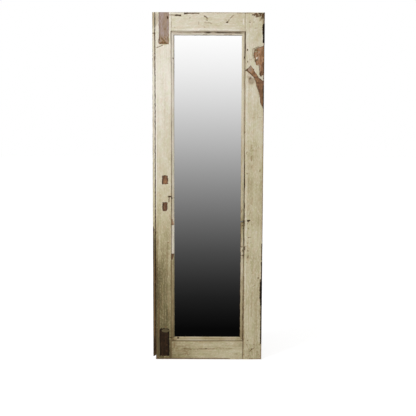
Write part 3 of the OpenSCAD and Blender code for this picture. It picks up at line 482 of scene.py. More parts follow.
def leaf_box(node):
    """Lowest and highest corner of a CAD node in mm on the leaf."""
    return tuple(to_leaf(corner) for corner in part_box(node))


def finished(name, mesh, slot, node, body=BODY, smooth=None):
    """Makes a mesh a piece: gives it its slot's material, hangs it on its body and hides the CAD
    node it stands in for.
    """
    mesh.name = name
    mesh.materials.clear()
    mesh.materials.append(material_for(slot))
    mesh.shade_smooth()
    if smooth is not None:
        mesh.set_sharp_from_angle(angle=math.radians(smooth))
    piece = bpy.data.objects.new(name, mesh)
    bpy.context.scene.collection.objects.link(piece)
    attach(piece, body)
    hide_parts(node)


def set_fields(mesh, fields, **vectors):
    """Stores a value or a vector for each corner of a mesh, as attributes."""
    for field, values in dict(fields).items():
        layer = mesh.attributes.new(field, "FLOAT", "POINT")
        layer.data.foreach_set("value", np.asarray(values, np.float32))
    for field, values in vectors.items():
        layer = mesh.attributes.new(field, "FLOAT_VECTOR", "POINT")
        layer.data.foreach_set("vector", np.asarray(values, np.float32).ravel())


def new_mesh(name, points, faces, fields, grain):
    """A mesh from places in mm on the leaf, with its fields as attributes."""
    mesh = bpy.data.meshes.new(name)
    mesh.from_pydata(to_frame(points).tolist(), [], [list(map(int, f)) for f in faces])
    set_fields(mesh, fields, grain=grain)
    return mesh


def merged_copy(*nodes):
    """The CAD meshes of some nodes as one bmesh, with their loose corners merged."""
    joined = bmesh.new()
    for node in nodes:
        joined.from_mesh(frame["nodes"][node].data)
    bmesh.ops.remove_doubles(joined, verts=joined.verts, dist=1e-6)
    return joined


def islands(node):
    """Corner places of each separate solid of a CAD node, in metres."""
    whole = merged_copy(node)
    left, found = set(whole.verts), []
    while left:
        front = [left.pop()]
        group = []
        while front:
            corner = front.pop()
            group.append(corner.co[:])
            for edge in corner.link_edges:
                other = edge.other_vert(corner)
                if other in left:
                    left.remove(other)
                    front.append(other)
        found.append(np.array(group))
    whole.free()
    return sorted(found, key=lambda group: tuple(np.round(group.mean(0), 5)))


def driven(node, towards):
    """Outer ends and directions of a node's long round solids, their radius and length."""
    ends, directions, lengths = [], [], []
    nearly_along = 0.97
    groups = islands(node)
    for group in groups:
        middle = group.mean(0)
        axis = np.linalg.svd(group - middle, full_matrices=False)[2][0]
        if abs(axis @ np.array(towards)) > nearly_along:
            axis = np.array(towards, float)
        reach = (group - middle) @ axis
        ends.append(middle + axis * reach.max())
        directions.append(axis)
        lengths.append(reach.max() - reach.min())
    away = groups[0] - groups[0].mean(0)
    around = away - np.outer(away @ directions[0], directions[0])
    radius = float(np.linalg.norm(around, axis=1).max())
    return np.array(ends), np.array(directions), radius, float(max(lengths))


def straight_lines(node, shortest=8.0):
    """Places across each axis, in mm on the leaf, of a node's long straight edges."""
    lines = (set(), set(), set())
    whole = merged_copy(node)
    for edge in whole.edges:
        start, end = (to_leaf(v.co) for v in edge.verts)
        run = abs(end - start)
        if run.max() > shortest and np.sort(run)[1] < 0.01:
            for axis in range(3):
                if axis != run.argmax():
                    lines[axis].add(round(float(start[axis]), 2))
    whole.free()
    return lines


def grid_lines(low, high, pitch, kept):
    """Mesh lines from low to high, closer near both ends and beside the kept lines."""
    close, beside, least = (0.7, 1.5, 2.6, 4.2), 0.3, 0.45
    lines = list(np.linspace(low, high, max(2, round((high - low) / pitch)) + 1))
    lines += [low + gap for gap in close] + [high - gap for gap in close]
    wanted = [(low, 0), (high, 0)]
    for place in kept:
        wanted += [(place + side, 1) for side in (-beside, beside) if low + 1 < place < high - 1]
    wanted += [(place, 2) for place in lines]
    chosen = []
    for place, _ in sorted(wanted, key=lambda item: item[1]):
        if low <= place <= high and all(abs(place - other) > least for other in chosen):
            chosen.append(place)
    return np.array(sorted(chosen))


def lattice_box(xs, ys, zs):
    """The skin of a closed box on shared mesh lines: line numbers and outward quads."""
    shape = (len(xs), len(ys), len(zs))
    index = np.indices(shape)
    last = np.array(shape).reshape(3, 1, 1, 1) - 1
    skin = ((index == 0) | (index == last)).any(axis=0)
    number = np.full(shape, -1)
    number[skin] = np.arange(skin.sum())
    quads = []
    for axis, flip in ((0, True), (1, False), (2, True)):
        for side, turned in ((0, flip), (-1, not flip)):
            sheet = np.take(number, side, axis=axis)
            corners = (sheet[:-1, :-1], sheet[1:, :-1], sheet[1:, 1:], sheet[:-1, 1:])
            block = np.stack(corners, -1).reshape(-1, 4)
            quads.append(block[:, ::-1] if turned else block)
    return index[:, skin].T, np.concatenate(quads)


def solid_tree(*nodes):
    """A search tree over the CAD surfaces of some nodes, in mm on the leaf."""
    whole = merged_copy(*nodes)
    whole.transform(
        Matrix.Scale(1 / MM, 4) @ Matrix.Translation(-Vector(LEAF_ORIGIN))
    )
    tree = BVHTree.FromBMesh(whole)
    whole.free()
    return tree


def sunk(tree, places, direction, deepest):
    """How far behind each place the CAD surface lies, in mm, up to a deepest value."""
    way = Vector(direction)
    start_back = 5.0
    depths = np.zeros(len(places))
    for number, place in enumerate(places):
        distance = tree.ray_cast(Vector(place) - way * start_back, way)[3]
        depths[number] = 0.0 if distance is None else max(distance - start_back, 0.0)
    return np.minimum(depths, deepest)


def rounded(points, low, high, radius):
    """Points of a box's skin drawn onto the same box with rounded edges."""
    reach = radius[:, None]
    core = np.clip(points, low + reach, high - reach)
    away = points - core
    size = np.linalg.norm(away, axis=1, keepdims=True)
    return core + away * np.where(size > 0, reach / np.maximum(size, 1e-9), 0)


# Fasteners that fill the holes of a stile or rail, so that a hole isn't taken for a cut
FILLING = (
    "joint_pegs", "bead_pins", "strip_nails", "packing_nails", "back_board_screws",
    "hanger_screws", "hinge_leaf_screws",
)


class Plank:
    """One board of the frame: the CAD's cuts, worn edges, uneven faces and its marks."""

    # Depth in mm from which an old cut shows bare wood
    cut_lip = 0.8

    def __init__(self, node, low, high, along, seed):
        """Lays out the board's mesh lines; along is the axis of its grain."""
        self.node, self.low, self.high, self.seed = node, low, high, seed
        self.along, self.across = along, 2 - along
        self.sizes = bpy.context.scene.shutter_leaf
        kept = straight_lines(node)
        pitch = self.sizes.pitch / MM
        self.lines = [
            grid_lines(low[axis], high[axis], pitch * coarse, kept[axis])
            for axis, coarse in enumerate((1, 3, 1))
        ]
        self.index, self.quads = lattice_box(*self.lines)
        self.points = np.stack([self.lines[a][self.index[:, a]] for a in range(3)], 1)
        self.x, self.y, self.z = self.points.T
        self.upper = self.z > LEAF_TALL / 2
        # 1 on the front face, fading out down the sides
        self.front = 1 - step(4.0, 12.0, self.y - low[1])
        self.run, self.over = self.points[:, along], self.points[:, self.across]
        self.plane = np.stack([self.over, self.run], 1)
        self.from_low = self.over - low[self.across]
        self.from_high = high[self.across] - self.over
        # Whether the low and the high edge are on the outside of the leaf
        outer_low, outer_high = (0, LEAF_TALL) if along == 0 else (-HALF_WIDE, HALF_WIDE)
        self.outer_low = abs(low[self.across] - outer_low) < 20
        self.outer_high = abs(high[self.across] - outer_high) < 1
        self.dark, self.deep = (seen * self.front for seen in front_marks(self.x, self.z))
        self.front_cut, self.side_cut = self.old_cuts()

    def lumps(self, places, size, number):
        """Smooth noise that is the board's own."""
        return lumps(places, size, self.seed + number)

    def old_cuts(self):
        """Depth of the CAD's cuts behind the front, and how far its sides are cut in."""
        low, high, index = self.low, self.high, self.index
        xs, ys, zs = self.lines
        tree = solid_tree(self.node, *FILLING)
        inset, deepest = 0.8, 8.0
        sheet = np.array([(x, low[1], z) for x in xs for z in zs])
        strayed = sheet.copy()
        for axis in (0, 2):
            strayed[:, axis] += self.sizes.ragged / MM * self.lumps(sheet[:, [0, 2]], (6, 9), axis)
            strayed[:, axis] = np.clip(strayed[:, axis], low[axis] + inset, high[axis] - inset)
        cut = sunk(tree, strayed, (0, 1, 0), deepest).reshape(len(xs), len(zs))
        # What is deeper than any cut is the space beside the board
        front_cut = np.where(cut > deepest - 0.1, 0.0, cut)[index[:, 0], index[:, 2]]
        side_cut = np.zeros(len(index))
        for side, place, way in ((0, low[0], 1), (-1, high[0], -1)) if self.along == 2 else ():
            edge = np.array([(place, y, z) for y in ys for z in zs])
            for axis in (1, 2):
                edge[:, axis] = np.clip(edge[:, axis], low[axis] + inset, high[axis] - inset)
            cut = sunk(tree, edge, (way, 0, 0), self.sizes.mouth / MM).reshape(len(ys), len(zs))
            here = index[:, 0] == (side % len(xs))
            side_cut[here] = cut[index[here, 1], index[here, 2]] * way
        return front_cut, side_cut

    def worn_shape(self, foot):
        """Where the mesh's corners lie once the board is cut, worn and dented."""
        low, high, points, front = self.low, self.high, self.points, self.front
        on_back = self.y == high[1]

        # Worn edges: tight where boards meet, loose on the outside of the leaf
        bite = 0.5 + 0.5 * self.lumps(points[:, [self.along]], (38,), 11)
        bite *= 0.6 + 0.4 * self.lumps(points[:, [self.along]], (9,), 12)
        share = step(0.35, 0.65, self.from_low / (high[self.across] - low[self.across]))
        outer_low = self.outer_low & (self.node != "lock_stile")
        loose = np.where(share > 0.5, self.outer_high, outer_low) * abs(share - 0.5) * 2
        # The strip is planted tight against the lock stile
        tight = {"lock_stile": share < 0.5, "meeting_strip": share > 0.5}.get(self.node, share < 0)
        least, most = 0.4, 5.0
        radius = self.sizes.arris / MM + self.sizes.wear / MM * loose * np.maximum(bite, 0)
        shape = rounded(points, low, high, np.clip(np.where(tight, least, radius), least, most))

        # Unevenness of the faces, and the depth of cuts and marks
        sway = self.sizes.sway / MM * (1 + self.lumps(self.plane, (45, 260), 1)) / 2
        sway += 0.12 * (1 + self.lumps(self.plane, (5, 60), 2)) / 2
        rough = step(0.5, 1.2, self.front_cut) * (0.5 + 0.5 * self.lumps(self.plane, (4, 22), 3))
        within = (self.from_low > 0.5) * (self.from_high > 0.5)
        sink = self.front_cut + (sway + self.deep + rough * 0.8) * front * within
        thick = high[1] - low[1]
        shape[:, 1] = low[1] + sink + (shape[:, 1] - low[1]) * (thick - sink) / thick
        shape[on_back, 1] -= sway[on_back]
        shape[:, 0] += self.side_cut
        end = np.where((self.y == low[1]) | on_back | tight, 0, 1) * 0.25
        for axis in (0, 2):
            nearer = np.where(shape[:, axis] < (low[axis] + high[axis]) / 2, 1, -1)
            rough = 1 + self.lumps(points[:, [1, 2 - axis]], (14, 50), 5 + axis)
            outermost = (points[:, axis] == low[axis]) | (points[:, axis] == high[axis])
            shape[:, axis] += nearer * rough * end * outermost
        if foot:
            slope_low, slope_high, reach = foot
            rise = slope_low + (slope_high - slope_low) * (self.x - low[0]) / (high[0] - low[0])
            rise += 2.5 * (1 + self.lumps(points[:, [0, 1]], (4, 7), 9)) / 2
            share = np.clip((reach - (self.z - low[2])) / reach, 0, 1)
            shape[:, 2] += (rise - low[2]) * share
        return shape

    def paint_fields(self):
        """What the paint shader reads: age with painted light and shade in it, bareness, tone of
        the bare wood, darkness.
        """
        x, z, front, run, plane = self.x, self.z, self.front, self.run, self.plane
        # The stain table also holds painted highlights along arrises and painted shade at the
        # lower left
        age_and_light_change, barer, darker = front_stains_and_painted_light(x, z)
        hidden_age = 0.62
        age = along_table(AGES_AND_PAINTED_LIGHT[self.node], run) + age_and_light_change * front
        age = age * (0.35 + 0.65 * np.maximum(front, 0)) + hidden_age * 0.65 * (1 - front)

        # Bareness: along the edges, in old cuts, in stains, and at random on sides and back
        low_bare, high_bare = (along_table(table, run) for table in BARE_EDGES[self.node])
        bare_edge = np.maximum(low_bare - self.from_low, high_bare - self.from_high) / 4
        inside = np.where(front > 0.05, (self.front_cut - self.cut_lip) / self.cut_lip, -2.0)
        bare = np.maximum(np.maximum(bare_edge, inside), barer * front - 0.35)
        bare = np.where(barer < -1, np.minimum(bare, barer + 0.7), bare)
        elsewhere = np.where(self.y == self.high[1], -0.85, -0.30)
        elsewhere = elsewhere + 0.5 * self.lumps(self.points[:, [1, self.along]], (14, 70), 17)
        bare = bare * front + elsewhere * (1 - front)
        bare = np.maximum(bare, (abs(self.side_cut) - self.cut_lip) / self.cut_lip)

        # Tone of the wood, and specks of paint left in a cut
        dark, tone = self.dark, np.full(len(x), 0.62)
        for x_low, x_high, z_low, z_high, left, right, rough, specks in WOOD_TONES:
            within = (x > x_low) & (x < x_high) & (z > z_low) & (z < z_high) & (inside > 0)
            mixed = left + (right - left) * (x - x_low) / (x_high - x_low)
            mixed = mixed + rough * self.lumps(plane, (4, 9), 16)
            tone[within] = mixed[within]
            if specks:
                speckled_bare = 0.45 + specks * self.lumps(plane, (6, 8), 18)
                bare[within] = np.minimum(bare, speckled_bare)[within]
                dark[within] = 0.54 * (speckled_bare < 0.36)[within]
                age[within] += 0.15
        tone = np.where((bare_edge > 0) & (inside <= 0), 0.70, tone)
        tone += (1 - front) * 0.05 + darker * front * (inside > 0)
        dark = np.maximum(dark, darker * front * (inside <= 0))
        dark = self.joint_dirt(dark, inside <= 0)
        return {"age": age, "bare": np.clip(bare, -2, 2), "tone": tone, "dark": dark}

    def joint_dirt(self, dark, uncut):
        """Dirt in the joints: thick beside the glass, thin where stiles and rails meet."""
        rim = np.minimum(
            self.from_low + 9 * self.outer_low, self.from_high + 9 * self.outer_high
        )
        seam = 1 + 0.3 * self.lumps(self.points[:, [self.along]], (26,), 14)
        if self.along == 2:
            joint = np.where(self.upper, 0.06, 0.36) * (1 - step(0.4, 2.4, rim))
            if self.node in SEAMS:
                # Only between the rails
                glazed = step(93, 99, self.z) * (1 - step(1684, 1690, self.z))
                thick_dirt, wide = (along_table(table, self.z) for table in SEAMS[self.node])
                fading = step(wide * seam / 2, (wide / 2 + 3.2) * seam, rim)
                joint = np.maximum(joint, thick_dirt * glazed * (1 - fading))
            return np.maximum(dark, joint * uncut)
        shoulder = np.minimum(self.x - self.low[0], self.high[0] - self.x)
        rim_dirt = np.where(self.upper, 0.16, 0.30) * (1 - step(0.4, 2.0 * seam, rim))
        joint = np.where(self.upper, 0.16, 0.6) * (1 - step(0.4, 2.6, shoulder))
        return np.maximum(dark, np.maximum(rim_dirt, joint))


def worn_plank(node, low, high, along, seed, tenons=(), foot=None):
    """Makes one board, with the ends of its tenons; foot slopes a broken lower end."""
    plank = Plank(node, low, high, along, seed)
    shape, fields = plank.worn_shape(foot), plank.paint_fields()
    grain_start = seed * 137.0
    grain = np.stack([plank.over, plank.y, plank.run], 1) + grain_start
    faces = [list(quad) for quad in plank.quads]
    soft = 0.6
    for tenon_low, tenon_high in tenons:
        lines = [
            np.array([start, start + soft, (start + end) / 2, end - soft, end])
            for start, end in zip(tenon_low, tenon_high)
        ]
        index, quads = lattice_box(*lines)
        block = np.stack([lines[a][index[:, a]] for a in range(3)], 1)
        block = rounded(block, tenon_low, tenon_high, np.full(len(block), soft))
        faces += [[corner + len(shape) for corner in quad] for quad in quads]
        shape = np.concatenate([shape, block])
        grain = np.concatenate([grain, block[:, [2, 1, 0]] + grain_start])
        for name, value in (("age", 0.8), ("bare", 0.6), ("tone", 0.70), ("dark", 0.0)):
            fields[name] = np.concatenate([fields[name], np.full(len(block), value)])
    finished("worn_" + node, new_mesh(node, shape, faces, fields, grain), "old_paint", node)


# ---- Materials ----


def feed(tree, node, inputs):
    """Feeds a node's inputs: a socket is linked, any other value is set."""
    for socket, value in dict(inputs).items():
        if isinstance(value, bpy.types.NodeSocket):
            tree.links.new(value, node.inputs[socket])
        else:
            node.inputs[socket].default_value = value


def add(tree, kind, inputs=(), out=0, stops=(), **settings):
    """Adds a node with its settings and inputs; gives one output, or the node if none.

    Stops are the (place, colour) pairs of a colour ramp; a colour is hex or linear.
    """
    node = tree.nodes.new(kind)
    for name, value in settings.items():
        setattr(node, name, value)
    feed(tree, node, inputs)
    if stops:
        elements = node.color_ramp.elements
        while len(elements) > 1:
            elements.remove(elements[-1])
        for number, (place, value) in enumerate(stops):
            element = elements.new(place) if number else elements[0]
            element.position = place
            element.color = linear(value) if isinstance(value, str) else value
    return node.outputs[out] if node.outputs else node


def weighted(tree, total, *terms):
    """A total to which each (pattern, middle, weight) adds what it is off its middle."""
    for pattern, middle, weight in terms:
        offset = add(tree, "ShaderNodeMath", {0: pattern, 1: middle}, operation="SUBTRACT")
        total = add(
            tree, "ShaderNodeMath", {0: offset, 1: weight, 2: total}, operation="MULTIPLY_ADD"
        )
    return total


def new_material(name, **values):
    """A material with one Principled shader, whose plain values are set on its sockets."""
    material = bpy.data.materials.new(name)
    material.use_nodes = True
    tree = material.node_tree
    tree.nodes.clear()
    shader = add(tree, "ShaderNodeBsdfPrincipled", values)
    add(tree, "ShaderNodeOutputMaterial", {"Surface": shader})
    return material, tree, shader.node


def painted_wood(name, clean, aged, dirty_and_shaded):
    """Old oil paint on wood: brushed along the grain, crackled, dirty, worn to the wood.

    It gives the eye a dull, uneven cream skin that goes olive brown under dirt and under
    painted shade, with fine dark crackle, and bare fibres wherever edges and old cuts show.
    Its age and dark fields also carry painted highlights along some arrises.
    """
    colours = bpy.context.scene.shutter_colours
    material, tree, surface = new_material(name, **{"Specular IOR Level": 0.25})
    grain = add(tree, "ShaderNodeAttribute", out="Vector", attribute_name="grain")
    age, bare, tone, dark = (
        add(tree, "ShaderNodeAttribute", out="Fac", attribute_name=field)
        for field in ("age", "bare", "tone", "dark")
    )

    # The grain attribute is in mm, so a scale of 1 / 40 is a lump of about 40 mm. The
    # third axis runs along the board; a small factor there draws a pattern out.
    patterns = []
    for mm, factor, detail in (
        (40, 0.35, 3.0),     # patchy ageing, 40 by 120 mm
        (4.5, 0.02, 3.0),    # brush lines, 4.5 mm by 220 mm
        (5, 0.6, 2.0),       # specks of dirt, 5 mm
        (17, 0.5, 2.0),      # greenish and pinkish blotches
        (5, 0.4, 3.0),       # ragged rim of the paint, 5 mm
        (1.6, 0.03, 4.0),    # wood fibres, 1.6 mm apart
        (14, 0.05, 2.0),     # broad bands in the wood, 14 mm
    ):
        drawn = add(
            tree, "ShaderNodeVectorMath", {0: grain, 1: (1, 1, factor)}, operation="MULTIPLY"
        )
        patterns.append(add(
            tree, "ShaderNodeTexNoise",
            {"Vector": drawn, "Scale": 1 / mm, "Detail": detail, "Roughness": 0.6},
        ))
    clouds, brush, flecks, hue, ragged, fibres, bands = patterns
    # Crackle: cells about 9 mm across and 20 mm long
    drawn = add(tree, "ShaderNodeVectorMath", {0: grain, 1: (1, 1, 0.45)}, operation="MULTIPLY")
    cells = add(
        tree, "ShaderNodeTexVoronoi", {"Vector": drawn, "Scale": 1 / 9},
        feature="DISTANCE_TO_EDGE",
    )

    # The paint's edge is frayed, and dirt lies in smudges
    frayed = weighted(tree, bare, (ragged, 0.5, 1.3))
    smudge = add(tree, "ShaderNodeMath", {0: ragged, 1: 0.8, 2: 0.55}, operation="MULTIPLY_ADD")
    darkness = add(
        tree, "ShaderNodeMath", {0: dark, 1: smudge}, operation="MULTIPLY", use_clamp=True
    )
    # Each value from its low to its high, and what these two become
    crack, where, bared, lifted, stained, cover, rough = (
        add(
            tree, "ShaderNodeMapRange",
            {"Value": value, "From Min": low, "From Max": high, "To Min": at_low,
             "To Max": at_high},
        )
        for value, low, high, at_low, at_high in (
            (cells, 0.0, 0.09, 1.0, 0.0),        # the cracks
            (clouds, 0.45, 0.7, 0.0, 1.0),       # where the paint has crackled
            (frayed, -0.12, 0.12, 0.0, 1.0),     # where the paint is off
            (frayed, -0.12, -0.34, 1.0, 0.0),    # lifted pale paint outside that rim
            (frayed, 0.04, 0.4, 1.0, 0.0),       # dirty wood inside it
            (darkness, 0.0, 0.75, 0.0, 1.0),     # how well the dirt covers
            (flecks, 0.3, 0.7, 0.55, 0.8),       # roughness
        )
    )
    crackle = add(tree, "ShaderNodeMath", {0: crack, 1: where}, operation="MULTIPLY")

    # Age at each point, with the painted light and shade that the age tables and stains carry,
    # then its colour
    total = weighted(
        tree, age, (clouds, 0.5, 0.34), (brush, 0.5, 0.36), (flecks, 0.55, 0.15),
        (crackle, 0.0, 0.12), (lifted, 0.0, -0.16),
    )
    # Its dirty end, where the age runs high at the lower left, is also painted shade
    paint = add(tree, "ShaderNodeValToRGB", {"Fac": total}, stops=(
        (0.0, clean), (0.18, "#e0dacb"), (0.34, "#d2cab4"), (0.48, aged),
        (0.62, "#b2a785"), (0.76, "#958866"), (0.90, dirty_and_shaded), (1.0, "#5c5136"),
    ))
    tint = add(
        tree, "ShaderNodeValToRGB", {"Fac": hue},
        stops=((0.32, "#fff3ee"), (0.5, "#ffffff"), (0.68, "#f6fae8")),
    )
    tinted = add(
        tree, "ShaderNodeMix", {0: 0.5, 6: paint, 7: tint}, out=2, data_type="RGBA",
        blend_type="MULTIPLY",
    )

    # Bare wood, darkest close to the broken edge of the paint
    grained = weighted(tree, tone, (fibres, 0.5, 0.42), (bands, 0.5, 0.46), (stained, 0.0, 0.2))
    wood = add(tree, "ShaderNodeValToRGB", {"Fac": grained}, stops=(
        (0.0, colours.wood_pale), (0.15, "#96816f"), (0.28, "#a8927e"),
        (0.42, colours.wood_warm), (0.56, "#785740"), (0.70, colours.wood_dark),
        (0.86, "#301e09"), (1.0, "#170c03"),
    ))
    skin = add(tree, "ShaderNodeMix", {0: bared, 6: tinted, 7: wood}, out=2, data_type="RGBA")

    # Thin dirt is warm brown, thick dirt nearly black. The same colours paint the shade by the
    # glass on the beads, part of the shade at the lower left, and the shadow beside the hinge
    # leaves.
    dirt = add(
        tree, "ShaderNodeValToRGB", {"Fac": darkness},
        stops=((0.1, "#97744a"), (0.5, "#6e5233"), (0.75, "#463521"), (1.0, "#20170d")),
    )
    soiled = add(tree, "ShaderNodeMix", {0: cover, 6: skin, 7: dirt}, out=2, data_type="RGBA")

    # Relief in mm: brush lines, crackle, the paint's edge and open fibres
    brushed = add(tree, "ShaderNodeMath", {0: brush, 1: 0.18, 2: 0.2}, operation="MULTIPLY_ADD")
    opened = add(tree, "ShaderNodeMath", {0: fibres, 1: bared}, operation="MULTIPLY")
    relief = weighted(
        tree, brushed, (crackle, 0.0, -0.12), (bared, 0.0, -0.3), (opened, 0.0, 0.5)
    )
    bump = add(tree, "ShaderNodeBump", {"Height": relief, "Distance": MM, "Strength": 0.8})
    feed(tree, surface, {"Base Color": soiled, "Roughness": rough, "Normal": bump})
    return material


def speckled(name, stops, scale_mm, stretch=(1, 1, 1), relief_mm=0.1, rough=(0.5, 0.7), **values):
    """A material whose colour and roughness follow one fine pattern in Object space."""
    material, tree, surface = new_material(name, **values)
    place = add(tree, "ShaderNodeTexCoord", out="Object")
    drawn = add(tree, "ShaderNodeVectorMath", {0: place, 1: stretch}, operation="MULTIPLY")
    pattern = add(
        tree, "ShaderNodeTexNoise",
        {"Vector": drawn, "Scale": 1 / (scale_mm * MM), "Detail": 4.0, "Roughness": 0.6},
    )
    least, most = rough
    dull = add(
        tree, "ShaderNodeMapRange",
        {"Value": pattern, "From Min": 0.3, "From Max": 0.7, "To Min": least, "To Max": most},
    )
    bump = add(tree, "ShaderNodeBump", {"Height": pattern, "Distance": relief_mm * MM})
    tinted = add(tree, "ShaderNodeValToRGB", {"Fac": pattern}, stops=stops)
    feed(tree, surface, {"Base Color": tinted, "Roughness": dull, "Normal": bump})
    return material


def mirror(name):
    """Silvered float glass: a clean, sharp, nearly full reflection."""
    material, tree, surface = new_material(
        name, **{"Base Color": linear("#fafafa"), "Metallic": 1.0}
    )
    # Wiped glass: a faint haze in 60 mm clouds
    place = add(tree, "ShaderNodeTexCoord", out="Object")
    haze = add(
        tree, "ShaderNodeTexNoise",
        {"Vector": place, "Scale": 1 / (60 * MM), "Detail": 2.0, "Roughness": 0.5},
    )
    dull = add(tree, "ShaderNodeMapRange", {"Value": haze, "To Min": 0.0, "To Max": 0.02})
    feed(tree, surface, {"Roughness": dull})
    return material


def shade(value, factor):
    """A linear colour, darker or lighter by a factor."""
    return (*(min(1.0, part * factor) for part in value[:3]), 1.0)


# Each slot of the record: the name of its finish, and how it is made from the colours
MATERIALS = {
    # Brushed oil paint, long dry: dull cream over wood, yellowed and crackled
    "old_paint": (
        "crackled_cream_oil_paint",
        lambda name, c: painted_wood(name, c.paint_clean, c.paint_aged, c.paint_dirty_and_shaded),
    ),
    # The same paint on planed moulding, a little cleaner
    "bead_paint": (
        "cream_oil_paint_on_bead",
        lambda name, c: painted_wood(name, "#eee7da", "#c9bfa6", "#776c4c"),
    ),
    # A later coat of oil paint: off-white, and whiter than all round it
    "patch_paint": (
        "newer_off_white_paint", lambda name, c: painted_wood(name, c.patch, "#cfc8b8", "#8b8266"),
    ),
    # Planed softwood: pale, with soft streaks along its length, 4 mm apart
    "bare_wood": ("planed_softwood", lambda name, c: speckled(
        name, ((0.3, shade(c.softwood, 0.75)), (0.7, c.softwood)), 4.0, (1, 1, 0.06), 0.1
    )),
    # Old oak end grain: dark open pores about 1.5 mm apart
    "end_grain": ("old_oak_end_grain", lambda name, c: speckled(
        name, ((0.35, shade(c.wood_dark, 0.6)), (0.65, shade(c.wood_warm, 0.55))), 1.5,
        relief_mm=0.3, rough=(0.7, 0.9),
    )),
    "mirror": ("silvered_glass", lambda name, c: mirror(name)),
    # Polythene film: dull grey with a slight mottle, 12 mm
    "backing_film": ("grey_backing_film", lambda name, c: speckled(
        name, ((0.3, shade(c.film, 0.85)), (0.7, c.film)), 12.0, relief_mm=0.02
    )),
    # Hardboard: dense brown fibre, mottled at 3 mm, with a faint sheen
    "hardboard": ("brown_hardboard", lambda name, c: speckled(
        name, ((0.28, shade(c.board, 0.7)), (0.55, c.board), (0.8, shade(c.board, 1.3))), 3.0,
        relief_mm=0.05, rough=(0.45, 0.65),
    )),
    # Zinc plate on pressed steel: bright grey with cloudy spangle, 5 mm
    "zinc_steel": ("zinc_plated_steel", lambda name, c: speckled(
        name, ((0.3, shade(c.zinc, 0.75)), (0.7, c.zinc)), 5.0, relief_mm=0.02,
        rough=(0.25, 0.42), Metallic=1.0,
    )),
    # Rusted wrought iron: nearly black with brown rust blooms, 6 mm, and a pitted face
    "rusty_iron": ("rusted_wrought_iron", lambda name, c: speckled(
        name, ((0.35, c.iron), (0.55, shade(c.iron, 1.5)), (0.75, "#4a2c1a")), 6.0,
        relief_mm=0.5, rough=(0.85, 0.95), **{"Specular IOR Level": 0.12},
    )),
    # Moulded rubber: matt black with a fine 2 mm bloom
    "black_rubber": ("moulded_black_rubber", lambda name, c: speckled(
        name, ((0.3, c.rubber), (0.8, shade(c.rubber, 1.6))), 2.0, relief_mm=0.05,
        rough=(0.75, 0.9),
    )),
}


def material_for(slot):
    """The material of a slot of the record, made the first time that it is asked for."""
    name, maker = MATERIALS[slot]
    return bpy.data.materials.get(name) or maker(name, bpy.context.scene.shutter_colours)


def dress(*nodes):
    """Leaves CAD nodes' meshes as they are and gives each the material of its own slot."""
    slots = {part["node"]: part["material_slot"] for part in frame["record"]["subparts"]}
    for node in nodes:
        mesh = frame["nodes"][node].data
        mesh.materials.clear()
        mesh.materials.append(material_for(slots[node]))


def softened(node, slot, radius=None):
    """Puts a copy of a CAD node with its sharp edges softened in place of the node."""
    radius = radius or bpy.context.scene.shutter_fittings.soften
    copy = merged_copy(node)
    bmesh.ops.dissolve_limit(
        copy, angle_limit=math.radians(1), verts=copy.verts, edges=copy.edges
    )
    sharp = [
        edge for edge in copy.edges
        if len(edge.link_faces) == 2 and edge.calc_face_angle(0) > math.radians(35)
    ]
    bmesh.ops.bevel(
        copy, geom=sharp, offset=radius, segments=2, profile=0.5, affect="EDGES",
        clamp_overlap=True,
    )
    mesh = bpy.data.meshes.new(node)
    copy.to_mesh(mesh)
    copy.free()
    finished("soft_" + node, mesh, slot, node, smooth=40)
    # The bevel's faces are round, the large faces flat
    for face in mesh.polygons:
        face.use_smooth = face.area < (4 * radius) ** 2


# ---- Geometry Nodes for what repeats ----


def new_node_tree(name, sockets):
    """A Geometry Nodes tree with a geometry in and out and named inputs for its sizes."""
    tree = bpy.data.node_groups.new(name, "GeometryNodeTree")
    tree.interface.new_socket("Geometry", in_out="OUTPUT", socket_type="NodeSocketGeometry")
    for socket, kind, value in (
        ("Geometry", "Geometry", None), *sockets, ("Material", "Material", None)
    ):
        made = tree.interface.new_socket(socket, in_out="INPUT", socket_type="NodeSocket" + kind)
        if value is not None:
            made.default_value = value
    return tree, add(tree, "NodeGroupInput").node.outputs


def hand_out(tree, given, geometry):
    """Ends a tree with its material on the geometry."""
    painted = add(
        tree, "GeometryNodeSetMaterial", {"Geometry": geometry, "Material": given["Material"]}
    )
    add(tree, "NodeGroupOutput", {"Geometry": painted})
    return tree


def set_out(tree, given, shape):
    """Ends a tree: its shape on every point, turned outwards, spun, realized, painted."""
    outward = add(
        tree, "GeometryNodeInputNamedAttribute", {"Name": "outward"}, data_type="FLOAT_VECTOR"
    )
    facing = add(tree, "FunctionNodeAlignRotationToVector", {"Vector": outward}, axis="Z")
    turn = add(
        tree, "FunctionNodeRandomValue",
        {"Min": (0, 0, 0), "Max": (0, 0, math.tau), "Seed": given["Seed"]},
        data_type="FLOAT_VECTOR",
    )
    spun = add(
        tree, "FunctionNodeRotateRotation", {"Rotation": facing, "Rotate By": turn},
        rotation_space="LOCAL",
    )
    placed = add(
        tree, "GeometryNodeInstanceOnPoints",
        {"Points": given["Geometry"], "Instance": shape, "Rotation": spun},
    )
    real = add(tree, "GeometryNodeRealizeInstances", {"Geometry": placed})
    # Painted and bare wood read their grain in mm
    place = add(tree, "GeometryNodeInputPosition")
    in_mm = add(tree, "ShaderNodeVectorMath", {0: place, "Scale": 1 / MM}, operation="SCALE")
    grained = add(
        tree, "GeometryNodeStoreNamedAttribute",
        {"Geometry": real, "Name": "grain", "Value": in_mm},
        data_type="FLOAT_VECTOR", domain="POINT",
    )
    return hand_out(tree, given, grained)


